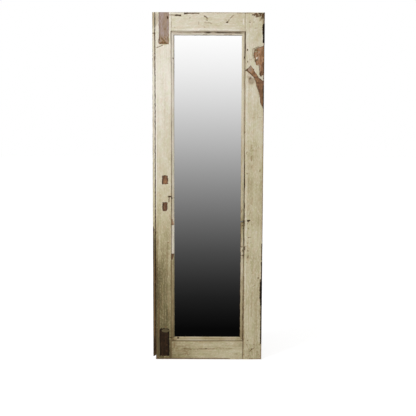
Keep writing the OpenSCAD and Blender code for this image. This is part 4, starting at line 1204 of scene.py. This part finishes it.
def screw_tree():
    """Slotted heads: a cone between two radii with a slot cut across its top."""
    tree, given = new_node_tree("Slotted screws", (
        ("Top radius", "Float", 0.003), ("Low radius", "Float", 0.004),
        ("Height", "Float", 0.002), ("Slot", "Float", 0.001), ("Sides", "Int", 28),
        ("Seed", "Int", 0),
    ))
    head = add(
        tree, "GeometryNodeMeshCone",
        {"Vertices": given["Sides"], "Radius Top": given["Top radius"],
         "Radius Bottom": given["Low radius"], "Depth": given["Height"]},
    )
    # Longer than any head is wide
    span = add(tree, "ShaderNodeCombineXYZ", {0: 0.02, 1: given["Slot"], 2: given["Slot"]})
    cutter = add(tree, "GeometryNodeMeshCube", {"Size": span})
    up = add(tree, "ShaderNodeCombineXYZ", {2: given["Height"]})
    raised = add(tree, "GeometryNodeTransform", {"Geometry": cutter, "Translation": up})
    slotted = add(
        tree, "GeometryNodeMeshBoolean", {"Mesh 1": head, "Mesh 2": raised},
        operation="DIFFERENCE", solver="EXACT",
    )
    # The cone stands on its foot, and its top goes to the point
    drop = add(tree, "ShaderNodeMath", {0: given["Height"], 1: -1.0}, operation="MULTIPLY")
    down = add(tree, "ShaderNodeCombineXYZ", {2: drop})
    sunken = add(tree, "GeometryNodeTransform", {"Geometry": slotted, "Translation": down})
    return set_out(tree, given, sunken)


def rod_tree():
    """Driven rods: nails, pins and pegs, with uneven sides."""
    tree, given = new_node_tree("Driven rods", (
        ("Radius", "Float", 0.001), ("Length", "Float", 0.02), ("Uneven", "Float", 0.0002),
        ("Sides", "Int", 12), ("Seed", "Int", 0),
    ))
    rod = add(
        tree, "GeometryNodeMeshCylinder",
        {"Vertices": given["Sides"], "Fill Segments": 2, "Radius": given["Radius"],
         "Depth": given["Length"]},
        fill_type="TRIANGLE_FAN",
    )
    drop = add(tree, "ShaderNodeMath", {0: given["Length"], 1: -0.5}, operation="MULTIPLY")
    down = add(tree, "ShaderNodeCombineXYZ", {2: drop})
    hung = add(tree, "GeometryNodeTransform", {"Geometry": rod, "Translation": down})
    # Only inwards, towards the rod's middle, so that it stays in its hole; 900 gives
    # lumps of about 1 mm
    place = add(tree, "GeometryNodeInputPosition")
    level = add(
        tree, "ShaderNodeVectorMath", {0: place, 1: (-1, -1, 0)}, operation="MULTIPLY"
    )
    inward = add(tree, "ShaderNodeVectorMath", {0: level}, operation="NORMALIZE")
    lumpy = add(
        tree, "ShaderNodeTexNoise",
        {"Vector": place, "Scale": 900.0, "Detail": 1.0, "Roughness": 0.5},
    )
    amount = add(tree, "ShaderNodeMath", {0: lumpy, 1: given["Uneven"]}, operation="MULTIPLY")
    offset = add(
        tree, "ShaderNodeVectorMath", {0: inward, "Scale": amount}, operation="SCALE"
    )
    uneven = add(tree, "GeometryNodeSetPosition", {"Geometry": hung, "Offset": offset})
    return set_out(tree, given, uneven)


def wire_tree():
    """A wire of round section along a closed path."""
    tree, given = new_node_tree("Bent wire", (("Radius", "Float", 0.002), ("Sides", "Int", 24)))
    path = add(tree, "GeometryNodeMeshToCurve", {"Mesh": given["Geometry"]})
    round_section = add(
        tree, "GeometryNodeCurvePrimitiveCircle",
        {"Resolution": given["Sides"], "Radius": given["Radius"]}, mode="RADIUS",
    )
    wire = add(tree, "GeometryNodeCurveToMesh", {"Curve": path, "Profile Curve": round_section})
    return hand_out(tree, given, add(tree, "GeometryNodeRealizeInstances", {"Geometry": wire}))


def grown(name, mesh, tree, slot, node, body=BODY, smooth=40, **values):
    """Runs a tree on a mesh of points or a path and keeps its result as one plain mesh."""
    carrier = bpy.data.objects.new(name + "_places", mesh)
    bpy.context.scene.collection.objects.link(carrier)
    modifier = carrier.modifiers.new(tree.name, "NODES")
    modifier.node_group = tree
    values["Material"] = material_for(slot)
    for item in tree.interface.items_tree:
        if item.in_out == "INPUT" and item.name in values:
            modifier[item.identifier] = values[item.name]
    grid = bpy.context.evaluated_depsgraph_get()
    made = bpy.data.meshes.new_from_object(carrier.evaluated_get(grid))
    carrier.modifiers.clear()
    bpy.data.objects.remove(carrier)
    if not made.polygons:
        raise RuntimeError(f"{name}: the node tree made no faces")
    finished(name, made, slot, node, body, smooth)


def point_mesh(places, outward, fields=()):
    """A mesh of loose points, each with the direction in which it faces and its fields."""
    mesh = bpy.data.meshes.new("places")
    mesh.from_pydata([tuple(place) for place in places], [], [])
    set_fields(mesh, fields, outward=outward)
    return mesh


# ---- Pieces ----


class SHUTTER_OT_frame(Operator):
    """Stiles and rails, worn and painted, with their tenons showing at the outer edges"""

    bl_idname = "shutter.frame"
    bl_label = "Stiles and Rails"

    def execute(self, context):
        names = ("lock_stile", "hinge_stile")
        stiles = [leaf_box(node) for node in names]
        for seed, (node, (low, high)) in enumerate(zip(names, stiles)):
            worn_plank(node, low, high, 2, 3 + seed)
        (left_low, left_high), (right_low, right_high) = stiles
        # How much of a tenon, from its end, is made: the rest is inside the stile
        shown, gap = 40, 0.3
        for seed, node in enumerate(("top_rail", "bottom_rail")):
            low, high = leaf_box(node)
            tenon_low, tenon_high = self.tenon_box(low, high)
            tenons = [
                (np.array([start + gap, *tenon_low]), np.array([end - gap, *tenon_high]))
                for start, end in (
                    (left_low[0], left_low[0] + shown), (right_high[0] - shown, right_high[0])
                )
            ]
            low[0], high[0] = left_high[0], right_low[0]
            worn_plank(node, low, high, 0, 21 + seed, tenons)
        return {"FINISHED"}

    @staticmethod
    def tenon_box(low, high):
        """The space in y and z between a joint's two wedges, where its tenon ends."""
        corners = [to_leaf(group) for group in islands("tenon_wedges")]
        near = [
            group for group in corners
            if low[2] - 5 < group[:, 2].mean() < high[2] + 5 and group[:, 0].mean() > 0
        ]
        near.sort(key=lambda group: group[:, 2].mean())
        clear = 0.15
        return (
            (near[0][:, 1].min() + clear, near[0][:, 2].max() + clear),
            (near[0][:, 1].max() - clear, near[1][:, 2].min() - clear),
        )


class SHUTTER_OT_meeting_strip(Operator):
    """The planted strip on the lock stile's edge, its foot broken off"""

    bl_idname = "shutter.meeting_strip"
    bl_label = "Meeting Strip"

    def execute(self, context):
        low, high = leaf_box("meeting_strip")
        slope, reach = 8.0, 40.0
        worn_plank("meeting_strip", low, high, 2, 9, foot=(low[2], low[2] + slope, reach))
        return {"FINISHED"}


# Each length of bead: which way its outer side faces, and how its two ends are cut
BEADS = {
    "bead_top": ("top", "mitre", "mitre"),
    "bead_bottom": ("bottom", "mitre", "mitre"),
    "bead_left_upper": ("left", "square", "mitre"),
    "bead_left_patch": ("left", "square", "square"),
    "bead_left_lower": ("left", "mitre", "square"),
    "bead_right_upper": ("right", "crack_low", "mitre"),
    "bead_right_patch": ("right", "square", "crack_high"),
    "bead_right_short": ("right", "square", "square"),
    "bead_right_lower": ("right", "mitre", "square"),
}
# Rise of the cracked end across the bead's width
CRACK_RISE = 7.0
# Gap between a rail and its bead
GAPS = {"top": 4.5, "bottom": 3.5}
# The dark line along each bead: place along it, distance from the wood, half width and
# darkness. It leaves the seam where the hand-cut bead stands off the wood.
BEAD_LINES = {
    "top": (
        (-190, 3.6, 2.2, 0.42), (-110, 3.6, 2.4, 0.52), (0, 3.4, 2.6, 0.70), (190, 3.4, 2.6, 0.74),
    ),
    "bottom": ((0, 2.0, 2.0, 0.12),),
    "left": (
        (0, 6.0, 1.2, 0.32), (320, 5.4, 1.2, 0.34), (430, 2.8, 1.3, 0.46),
        (1000, 2.6, 1.4, 0.66), (1200, 2.6, 1.3, 0.52), (1380, 2.6, 1.2, 0.44),
        (1480, 1.6, 1.2, 0.48), (1600, 0.6, 1.4, 0.50),
    ),
    "right": (
        (0, 2.2, 1.8, 0.66), (200, 1.8, 1.8, 0.64), (330, 0.8, 1.8, 0.66), (440, 0.4, 1.6, 0.60),
        (520, 0.0, 1.0, 0.10), (1100, 0.0, 1.0, 0.12), (1250, 0.0, 1.2, 0.30),
        (1500, 0.6, 1.5, 0.50), (1620, 2.0, 1.8, 0.62),
    ),
}
# Dirt and painted shade along the glass: place along the bead, where across the bead it starts
# and darkness. On the top and left beads it is mostly painted shade on the inner slope, which
# faces away from the lamp. On the right bead, low down, it is painted shade that widens the dark
# of the glass beside it.
BEAD_GLASS_DIRT_AND_SHADE = {
    "top": ((0, 13.0, 0.60),), "bottom": ((0, 15.0, 0.20),),
    "left": ((0, 13.6, 0.10), (1350, 13.6, 0.10), (1480, 12.2, 0.64)),
    "right": (
        (0, 12.2, 0.82), (650, 12.2, 0.82), (760, 12.2, 0.42), (1130, 12.4, 0.36),
        (1260, 13.0, 0.04), (1560, 13.0, 0.06), (1700, 12.4, 0.30),
    ),
}
# Dirt in the gap beside the rails and on the ledge of the section
BEAD_GAP_DIRT = {"top": 0.36, "bottom": 0.10, "left": 0.0, "right": 0.0}
BEAD_LEDGE_DIRT = {"top": 0.18, "bottom": 0.56, "left": 0.20, "right": 0.20}


class SHUTTER_OT_glazing_bead(Operator):
    """The moulded bead round the glass, in its nine spliced lengths"""

    bl_idname = "shutter.glazing_bead"
    bl_label = "Glazing Bead"

    def execute(self, context):
        for seed, (node, (side, low_end, high_end)) in enumerate(BEADS.items()):
            self.one_length(node, side, low_end, high_end, 40 + seed)
        return {"FINISHED"}

    @staticmethod
    def section_of(side, wide, deep):
        """Places across and into the bead round its section, and where its fillet ends."""
        fillet, arris, drop = wide / 2, 0.7, 1.0
        curve = wide - fillet
        # Old putty fills the gap between a rail and its bead, below the bead's face
        putty = GAPS.get(side, 0.0)
        section = [(0.3 - putty, deep), (0.3 - putty, 3.4), (0, 3.2)] if putty else [(0, deep)]
        section += [(0, arris + 1), (0, arris), (0.2, 0.2), (arris, 0)]
        section += [(fillet * share, 0) for share in (0.25, 0.45, 0.65, 0.8)]
        section += [(fillet - 0.5, 0), (fillet - 0.1, 0.15), (fillet, 0.6), (fillet, drop)]
        section += [
            (fillet + curve * math.cos(turn), drop + curve * (1 - math.sin(turn)))
            for turn in np.radians(np.linspace(90, 0, 10)[1:])
        ]
        return np.array(section + [(wide, deep), (wide * 0.5, deep)]), fillet

    def one_length(self, node, side, low_end, high_end, seed):
        """One length: its section swept along it, mitred, chipped, dirtied and given painted shade
        by the glass.
        """
        low, high = leaf_box(node)
        upright = side in ("left", "right")
        along, across = (2, 0) if upright else (0, 2)
        wide, deep = high[across] - low[across], high[1] - low[1]
        section, fillet = self.section_of(side, wide, deep)
        count = max(6, round((high[along] - low[along]) / 4.0))
        cuts = {
            "square": lambda u: u * 0, "mitre": lambda u: np.maximum(u, 0),
            "crack_low": lambda u: CRACK_RISE * (1 - u / wide),
            "crack_high": lambda u: CRACK_RISE * u / wide - 0.9,
        }
        u, d = (np.tile(section[:, k], count + 1) for k in (0, 1))
        share = np.repeat(np.linspace(0, 1, count + 1), len(section))
        start = low[along] + cuts[low_end](u)
        run = start + share * (high[along] - cuts[high_end](u) - start)

        # Hand-run section: it wanders a little, always inwards
        walk = np.stack([u, run], 1)
        inner = step(fillet, wide, u)
        drift = 0.5 * (1 + lumps(walk[:, [1]], (90,), seed)) / 2
        nibble = 0.9 * step(0.45, 0.8, lumps(walk, (5, 7), seed + 30))
        d = d + (drift * 0.6 + nibble * (d < 2)) * (d < deep - 0.5)
        u = u - inner * (drift + 0.5 * step(0.3, 0.8, lumps(walk[:, [1]], (11,), seed + 60)))
        from_high = side in ("right", "top")
        edge, sign = (high[across], -1) if from_high else (low[across], 1)
        points = np.zeros((len(u), 3))
        points[:, along], points[:, across], points[:, 1] = run, edge + sign * u, low[1] + d

        # The CAD's splintered ends
        tree = solid_tree(node, "bead_pins")
        probe = points.copy()
        probe[:, 1] = low[1]
        probe[:, across] = edge + sign * np.clip(u, 0.4, wide - 0.4)
        probe[:, along] = np.clip(run, low[along] + 0.4, high[along] - 0.4)
        cut = sunk(tree, probe, (0, 1, 0), deep)
        whole = np.tile(np.percentile(cut.reshape(count + 1, -1), 30, axis=0), count + 1)
        chip = np.where((cut < deep - 1) & (cut - whole > 0.9), cut - whole, 0)
        splinter = low[1] + cut + 0.6 * (1 + lumps(walk, (3, 16), seed + 90)) / 2
        chipped = (d < deep - 0.6) & (chip > 0)
        points[chipped, 1] = np.maximum(points[:, 1], splinter)[chipped]
        points[:, 1] = np.minimum(points[:, 1], high[1])

        number = np.arange(len(u)).reshape(count + 1, len(section))
        after = np.roll(number, -1, axis=1)
        quads = np.stack([number[:-1], number[1:], after[1:], after[:-1]], -1).reshape(-1, 4)
        faces = [*map(list, quads), list(number[0]), list(number[-1][::-1])]
        if from_high == upright:
            faces = [face[::-1] for face in faces]

        # What the paint shader reads
        dark, _ = front_marks(points[:, 0], points[:, 2])
        age = along_table(AGES_AND_PAINTED_LIGHT["bead_" + side], run) + 0.06 * lumps(walk, (30, 60), seed + 7)
        if node == "bead_left_patch":
            age = age * 0.4
        line, glass_dirt_and_shade = (
            [np.interp(run, [row[0] for row in table], [row[k] for row in table])
             for k in range(1, len(table[0]))]
            for table in (BEAD_LINES[side], BEAD_GLASS_DIRT_AND_SHADE[side])
        )
        wander = 0.6 * lumps(walk[:, [1]], (55,), seed + 8)
        away = abs(u - line[0] - wander) - line[1]
        strength = line[2] * (1 + 0.3 * lumps(walk[:, [1]], (25,), seed + 9))
        # Painted shade on the inner slope by the glass, with some dirt
        shaded = step(glass_dirt_and_shade[0], glass_dirt_and_shade[0] + 1.4, u) * glass_dirt_and_shade[1]
        # Dirt in the lines, the gap and on the ledge, and the painted shade by the glass
        for dirt in (
            strength * (1 - step(-0.6, 1.4, away)),
            np.where(u < 0, BEAD_GAP_DIRT[side], 0),
            shaded * (1 + 0.3 * lumps(walk[:, [1]], (18,), seed + 10)),
            BEAD_LEDGE_DIRT[side] * (1 - step(0.4, 2.2, abs(u - fillet - 0.3))),
        ):
            dark = np.maximum(dark, dirt)
        if side == "bottom":
            # The upward face takes the light, and the dirt
            upward = step(fillet, fillet + 2, u)
            age = age + 0.06 * upward
            dark = np.maximum(dark, 0.08 * upward)
        bare = np.maximum(np.where(chip > 0, 0.2 + chip, -1.0), -1.0 + 0.5 * nibble)
        tone = np.full(len(u), 0.32 if node == "bead_left_upper" else 0.66)
        fields = {"age": age, "bare": np.clip(bare, -2, 2), "tone": tone, "dark": dark}
        grain = np.stack([points[:, across], points[:, 1], run], 1) + seed * 91.0
        slot = "patch_paint" if node == "bead_left_patch" else "bead_paint"
        mesh = new_mesh(node, points, faces, fields, grain)
        finished("run_" + node, mesh, slot, node, smooth=50)


class SHUTTER_OT_pegs_and_nails(Operator):
    """Drawbore pegs, tenon wedges, strip nails, bead pins and packing nails"""

    bl_idname = "shutter.pegs_and_nails"
    bl_label = "Pegs and Nails"

    def execute(self, context):
        seed = context.scene.shutter_fittings.seed
        tree = rod_tree()
        for node, name, towards, slot, sides, uneven in (
            ("joint_pegs", "riven_pegs", (0, -1, 0), "old_paint", 11, 0.0007),
            ("strip_nails", "cut_nails", (-1, 0, 0), "rusty_iron", 10, 0.0004),
            ("bead_pins", "glazing_pins", (0, -1, 0), "rusty_iron", 8, 0.0001),
            ("packing_nails", "wire_nails", (0, 0, 1), "rusty_iron", 8, 0.0001),
        ):
            ends, outward, radius, long = driven(node, towards)
            fields = self.painted_over(ends) if slot == "old_paint" else {}
            grown(
                name, point_mesh(ends, outward, fields), tree, slot, node, Radius=radius,
                Length=long, Uneven=uneven, Sides=sides, Seed=seed,
            )
        softened("tenon_wedges", "end_grain")
        return {"FINISHED"}

    @staticmethod
    def painted_over(ends):
        """Paint on the pegs: under the leaf's paint at the right, bare in the housings."""
        places = to_leaf(ends)
        painted, upper = places[:, 0] > 0, places[:, 2] > LEAF_TALL / 2
        return {
            "age": along_table(AGES_AND_PAINTED_LIGHT["hinge_stile"], places[:, 2]),
            "bare": np.where(painted, -1.2, 1.0),
            "tone": np.where(upper, 0.16, 0.88),
            "dark": np.where(painted, 0.10, 0.05),
        }


class SHUTTER_OT_mirror(Operator):
    """The silvered glass, its backing film and its two setting blocks"""

    bl_idname = "shutter.mirror"
    bl_label = "Mirror"

    def execute(self, context):
        dress("mirror_glass", "mirror_backing")
        softened("setting_blocks", "black_rubber")
        return {"FINISHED"}


class SHUTTER_OT_back(Operator):
    """Packing behind the glass and the screwed back board"""

    bl_idname = "shutter.back"
    bl_label = "Back"

    def execute(self, context):
        dress("packing_left", "packing_right", "packing_top", "packing_bottom")
        softened("back_board", "hardboard", radius=0.0006)
        return {"FINISHED"}


class SHUTTER_OT_screws(Operator):
    """Slotted screws of the back board, the hangers and the old hinge leaves"""

    bl_idname = "shutter.screws"
    bl_label = "Screws"

    def execute(self, context):
        fittings = context.scene.shutter_fittings
        tree = screw_tree()
        # The two last numbers are the shares of the radius at a head's top and foot
        for node, name, towards, slot, height, top, foot in (
            ("back_board_screws", "board_screws", (0, 1, 0), "zinc_steel", 0.0018, 1, 0.55),
            ("hanger_screws", "strap_screws", (0, 1, 0), "zinc_steel", 0.002, 1 / 1.55, 1),
            ("hinge_leaf_screws", "leaf_screws", (1, 0, 0), "rusty_iron", 0.0017, 1, 0.55),
        ):
            ends, outward, radius, _ = driven(node, towards)
            grown(
                name, point_mesh(ends, outward), tree, slot, node, Slot=fittings.slot,
                Height=height, Sides=fittings.sides, Seed=fittings.seed,
                **{"Top radius": radius * top, "Low radius": radius * foot},
            )
        return {"FINISHED"}


class SHUTTER_OT_hangers(Operator):
    """The two straps and the two swinging rings of bent wire on the back"""

    bl_idname = "shutter.hangers"
    bl_label = "Hangers"

    def execute(self, context):
        tree = wire_tree()
        for side in ("left", "right"):
            softened("hanger_strap_" + side, "zinc_steel", radius=0.0003)
            node = "hanger_ring_" + side
            low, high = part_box(node)
            wire = (high.y - low.y) / 2
            grown(
                "bent_" + node, self.ring_path(low, high, wire), tree, "zinc_steel", node,
                body="ring_" + side, smooth=None, Radius=wire, Sides=24,
            )
        return {"FINISHED"}

    @staticmethod
    def ring_path(low, high, wire):
        """The middle of a D of wire: its bar on top, two sides and a half circle."""
        bend = 0.003
        middle_x, y = (low.x + high.x) / 2, (low.y + high.y) / 2
        half, top = (high.x - low.x) / 2 - wire, high.z - wire
        places = []
        for x, z, radius, start, end, count in (
            (middle_x + half - bend, top - bend, bend, 0, 90, 9),
            (middle_x - half + bend, top - bend, bend, 90, 180, 9),
            (middle_x, low.z + wire + half, half, 180, 360, 41),
        ):
            places += [
                (x + radius * math.cos(turn), y, z + radius * math.sin(turn))
                for turn in np.radians(np.linspace(start, end, count))
            ]
        mesh = bpy.data.meshes.new("ring_path")
        count = len(places)
        mesh.from_pydata(places, [(i, (i + 1) % count) for i in range(count)], [])
        return mesh


class SHUTTER_OT_hinge_leaves(Operator):
    """The two iron hinge leaves left in the hinge stile's edge"""

    bl_idname = "shutter.hinge_leaves"
    bl_label = "Hinge Leaves"

    def execute(self, context):
        for node in ("upper_hinge_leaf", "lower_hinge_leaf"):
            softened(node, "rusty_iron", radius=0.0006)
        return {"FINISHED"}


class SHUTTER_OT_bumpers(Operator):
    """The two rubber bumpers at the foot of the back"""

    bl_idname = "shutter.bumpers"
    bl_label = "Bumpers"

    def execute(self, context):
        softened("wall_bumpers", "black_rubber")
        return {"FINISHED"}


# ---- Stage ----

# What the mirror shows, by the height of the line of sight: from BLACK_AT it brightens
# evenly up to WHITE_AT, and below BLACK_AT the floor gets paler again
BLACK_AT, WHITE_AT = -0.2625, 0.12
FLOOR_SHADES = ((-1.0, "#9a9a9a"), (-0.62, "#8c8c8c"), (-0.42, "#5a5a5a"), (-0.30, "#101010"))


def room_stops(count=20, least=0.03):
    """The (height, sRGB hex) stops of what the mirror shows, the first just above black."""
    stops = list(FLOOR_SHADES)
    for share in np.linspace(least, 1, count):
        grey = share * (0.83 + 0.88 * share - 0.71 * share ** 2)
        height = BLACK_AT + share * (WHITE_AT - BLACK_AT)
        stops.append((height, "#" + 3 * f"{int(round(255 * grey)):02x}"))
    return stops


class SHUTTER_OT_studio(Operator):
    """Pale floor, white surroundings, one soft lamp and the camera"""

    bl_idname = "shutter.studio"
    bl_label = "Studio"

    def execute(self, context):
        studio = context.scene.shutter_studio
        self.make_floor(context)
        self.make_world(context, studio)
        self.make_lamp(context, studio)
        self.make_camera(context, studio)
        context.scene.view_settings.view_transform = "Standard"
        return {"FINISHED"}

    @staticmethod
    def make_floor(context):
        """Pale seamless paper: it takes the shadow, and the camera sees it nearly white."""
        half, z = 30.0, float(LEAF_LOW.z) - 0.0002
        mesh = bpy.data.meshes.new("floor")
        mesh.from_pydata(
            [(-half, -half, z), (half, -half, z), (half, half, z), (-half, half, z)],
            [], [(0, 1, 2, 3)],
        )
        floor = bpy.data.objects.new("floor", mesh)
        context.scene.collection.objects.link(floor)
        floor.visible_glossy = False
        material = bpy.data.materials.new("pale_paper")
        material.use_nodes = True
        tree = material.node_tree
        tree.nodes.clear()
        paper = add(tree, "ShaderNodeBsdfDiffuse", {"Color": linear("#e7e7e7")})
        glow = add(tree, "ShaderNodeEmission", {"Strength": 0.5})
        both = add(tree, "ShaderNodeAddShader", {0: paper, 1: glow})
        ray = add(tree, "ShaderNodeLightPath", out="Is Camera Ray")
        seen = add(tree, "ShaderNodeMixShader", {0: ray, 1: paper, 2: both})
        add(tree, "ShaderNodeOutputMaterial", {"Surface": seen})
        mesh.materials.append(material)

    @staticmethod
    def make_world(context, studio):
        """Even light, a white background, and the room that only reflections show."""
        world = bpy.data.worlds.new("studio")
        context.scene.world = world
        world.use_nodes = True
        tree = world.node_tree
        tree.nodes.clear()
        way = add(tree, "ShaderNodeTexCoord", out="Generated")
        height = add(tree, "ShaderNodeSeparateXYZ", {0: way}, out="Z")
        share = add(
            tree, "ShaderNodeMapRange", {"Value": height, "From Min": -1.0, "From Max": 1.0}
        )
        room = add(
            tree, "ShaderNodeValToRGB", {"Fac": share},
            stops=[((place + 1) / 2, value) for place, value in room_stops()],
        )
        white = (1, 1, 1, 1)
        # The last strength makes up for what the glass takes away
        even, seen, reflected = (
            add(tree, "ShaderNodeBackground", {"Color": tint, "Strength": strength})
            for tint, strength in ((white, studio.sky), (white, 1.0), (room, 1.045))
        )
        surface = even
        for ray, shown in (
            ("Is Glossy Ray", reflected), ("Is Transmission Ray", seen), ("Is Camera Ray", seen)
        ):
            chosen = add(tree, "ShaderNodeLightPath", out=ray)
            surface = add(tree, "ShaderNodeMixShader", {0: chosen, 1: surface, 2: shown})
        add(tree, "ShaderNodeOutputWorld", {"Surface": surface})

    @staticmethod
    def make_lamp(context, studio):
        """A soft lamp at the upper left, which the mirror doesn't show."""
        data = bpy.data.lights.new("key", "AREA")
        data.energy, data.shape, data.size = studio.key, "DISK", 1.6
        lamp = bpy.data.objects.new("key", data)
        context.scene.collection.objects.link(lamp)
        lamp.location = (-2.9, -2.9, 1.5)
        aim = Vector((0.0, -0.04, -0.45)) - lamp.location
        lamp.rotation_euler = aim.to_track_quat("-Z", "Y").to_euler()
        lamp.visible_glossy = False

    @staticmethod
    def make_camera(context, studio):
        """The photo's view."""
        data = bpy.data.cameras.new("camera")
        data.lens, data.sensor_width = studio.lens, 36.0
        camera = bpy.data.objects.new("camera", data)
        context.scene.collection.objects.link(camera)
        camera.location = (
            studio.aside, float(LEAF_LOW.y) - studio.away, float(LEAF_LOW.z) + studio.eye
        )
        turn = Matrix.Rotation(math.pi / 2 - studio.tilt, 3, "X")
        camera.rotation_euler = (turn @ Matrix.Rotation(studio.roll, 3, "Z")).to_euler()
        context.scene.camera = camera


OPERATORS = (
    SHUTTER_OT_frame, SHUTTER_OT_meeting_strip, SHUTTER_OT_glazing_bead,
    SHUTTER_OT_pegs_and_nails, SHUTTER_OT_mirror, SHUTTER_OT_back, SHUTTER_OT_screws,
    SHUTTER_OT_hangers, SHUTTER_OT_hinge_leaves, SHUTTER_OT_bumpers, SHUTTER_OT_studio,
)
GROUPS = {
    "shutter_leaf": LeafSizes, "shutter_fittings": FittingSizes,
    "shutter_colours": Colours, "shutter_studio": Studio,
}


class SHUTTER_PT_panel(Panel):
    """Lists the pieces and what can be changed"""

    bl_idname = "SHUTTER_PT_panel"
    bl_label = "Shutter Mirror"
    bl_space_type = "VIEW_3D"
    bl_region_type = "UI"
    bl_category = "Shutter Mirror"

    def draw(self, context):
        for operator in OPERATORS:
            self.layout.operator(operator.bl_idname)
        for name, group in GROUPS.items():
            box = self.layout.box()
            box.label(text=group.__name__)
            for value in group.__annotations__:
                box.prop(getattr(context.scene, name), value)


def register():
    """Registers the classes and hangs the property groups on the scene."""
    for made in (*GROUPS.values(), *OPERATORS, SHUTTER_PT_panel):
        bpy.utils.register_class(made)
    for name, group in GROUPS.items():
        setattr(bpy.types.Scene, name, PointerProperty(type=group))


def unregister():
    """Takes everything off again."""
    for name in GROUPS:
        delattr(bpy.types.Scene, name)
    for made in (SHUTTER_PT_panel, *reversed(OPERATORS), *GROUPS.values()):
        bpy.utils.unregister_class(made)


def main():
    register()
    for operator in OPERATORS:
        group, name = operator.bl_idname.split(".")
        getattr(getattr(bpy.ops, group), name)()


if __name__ == "__main__":
    main()
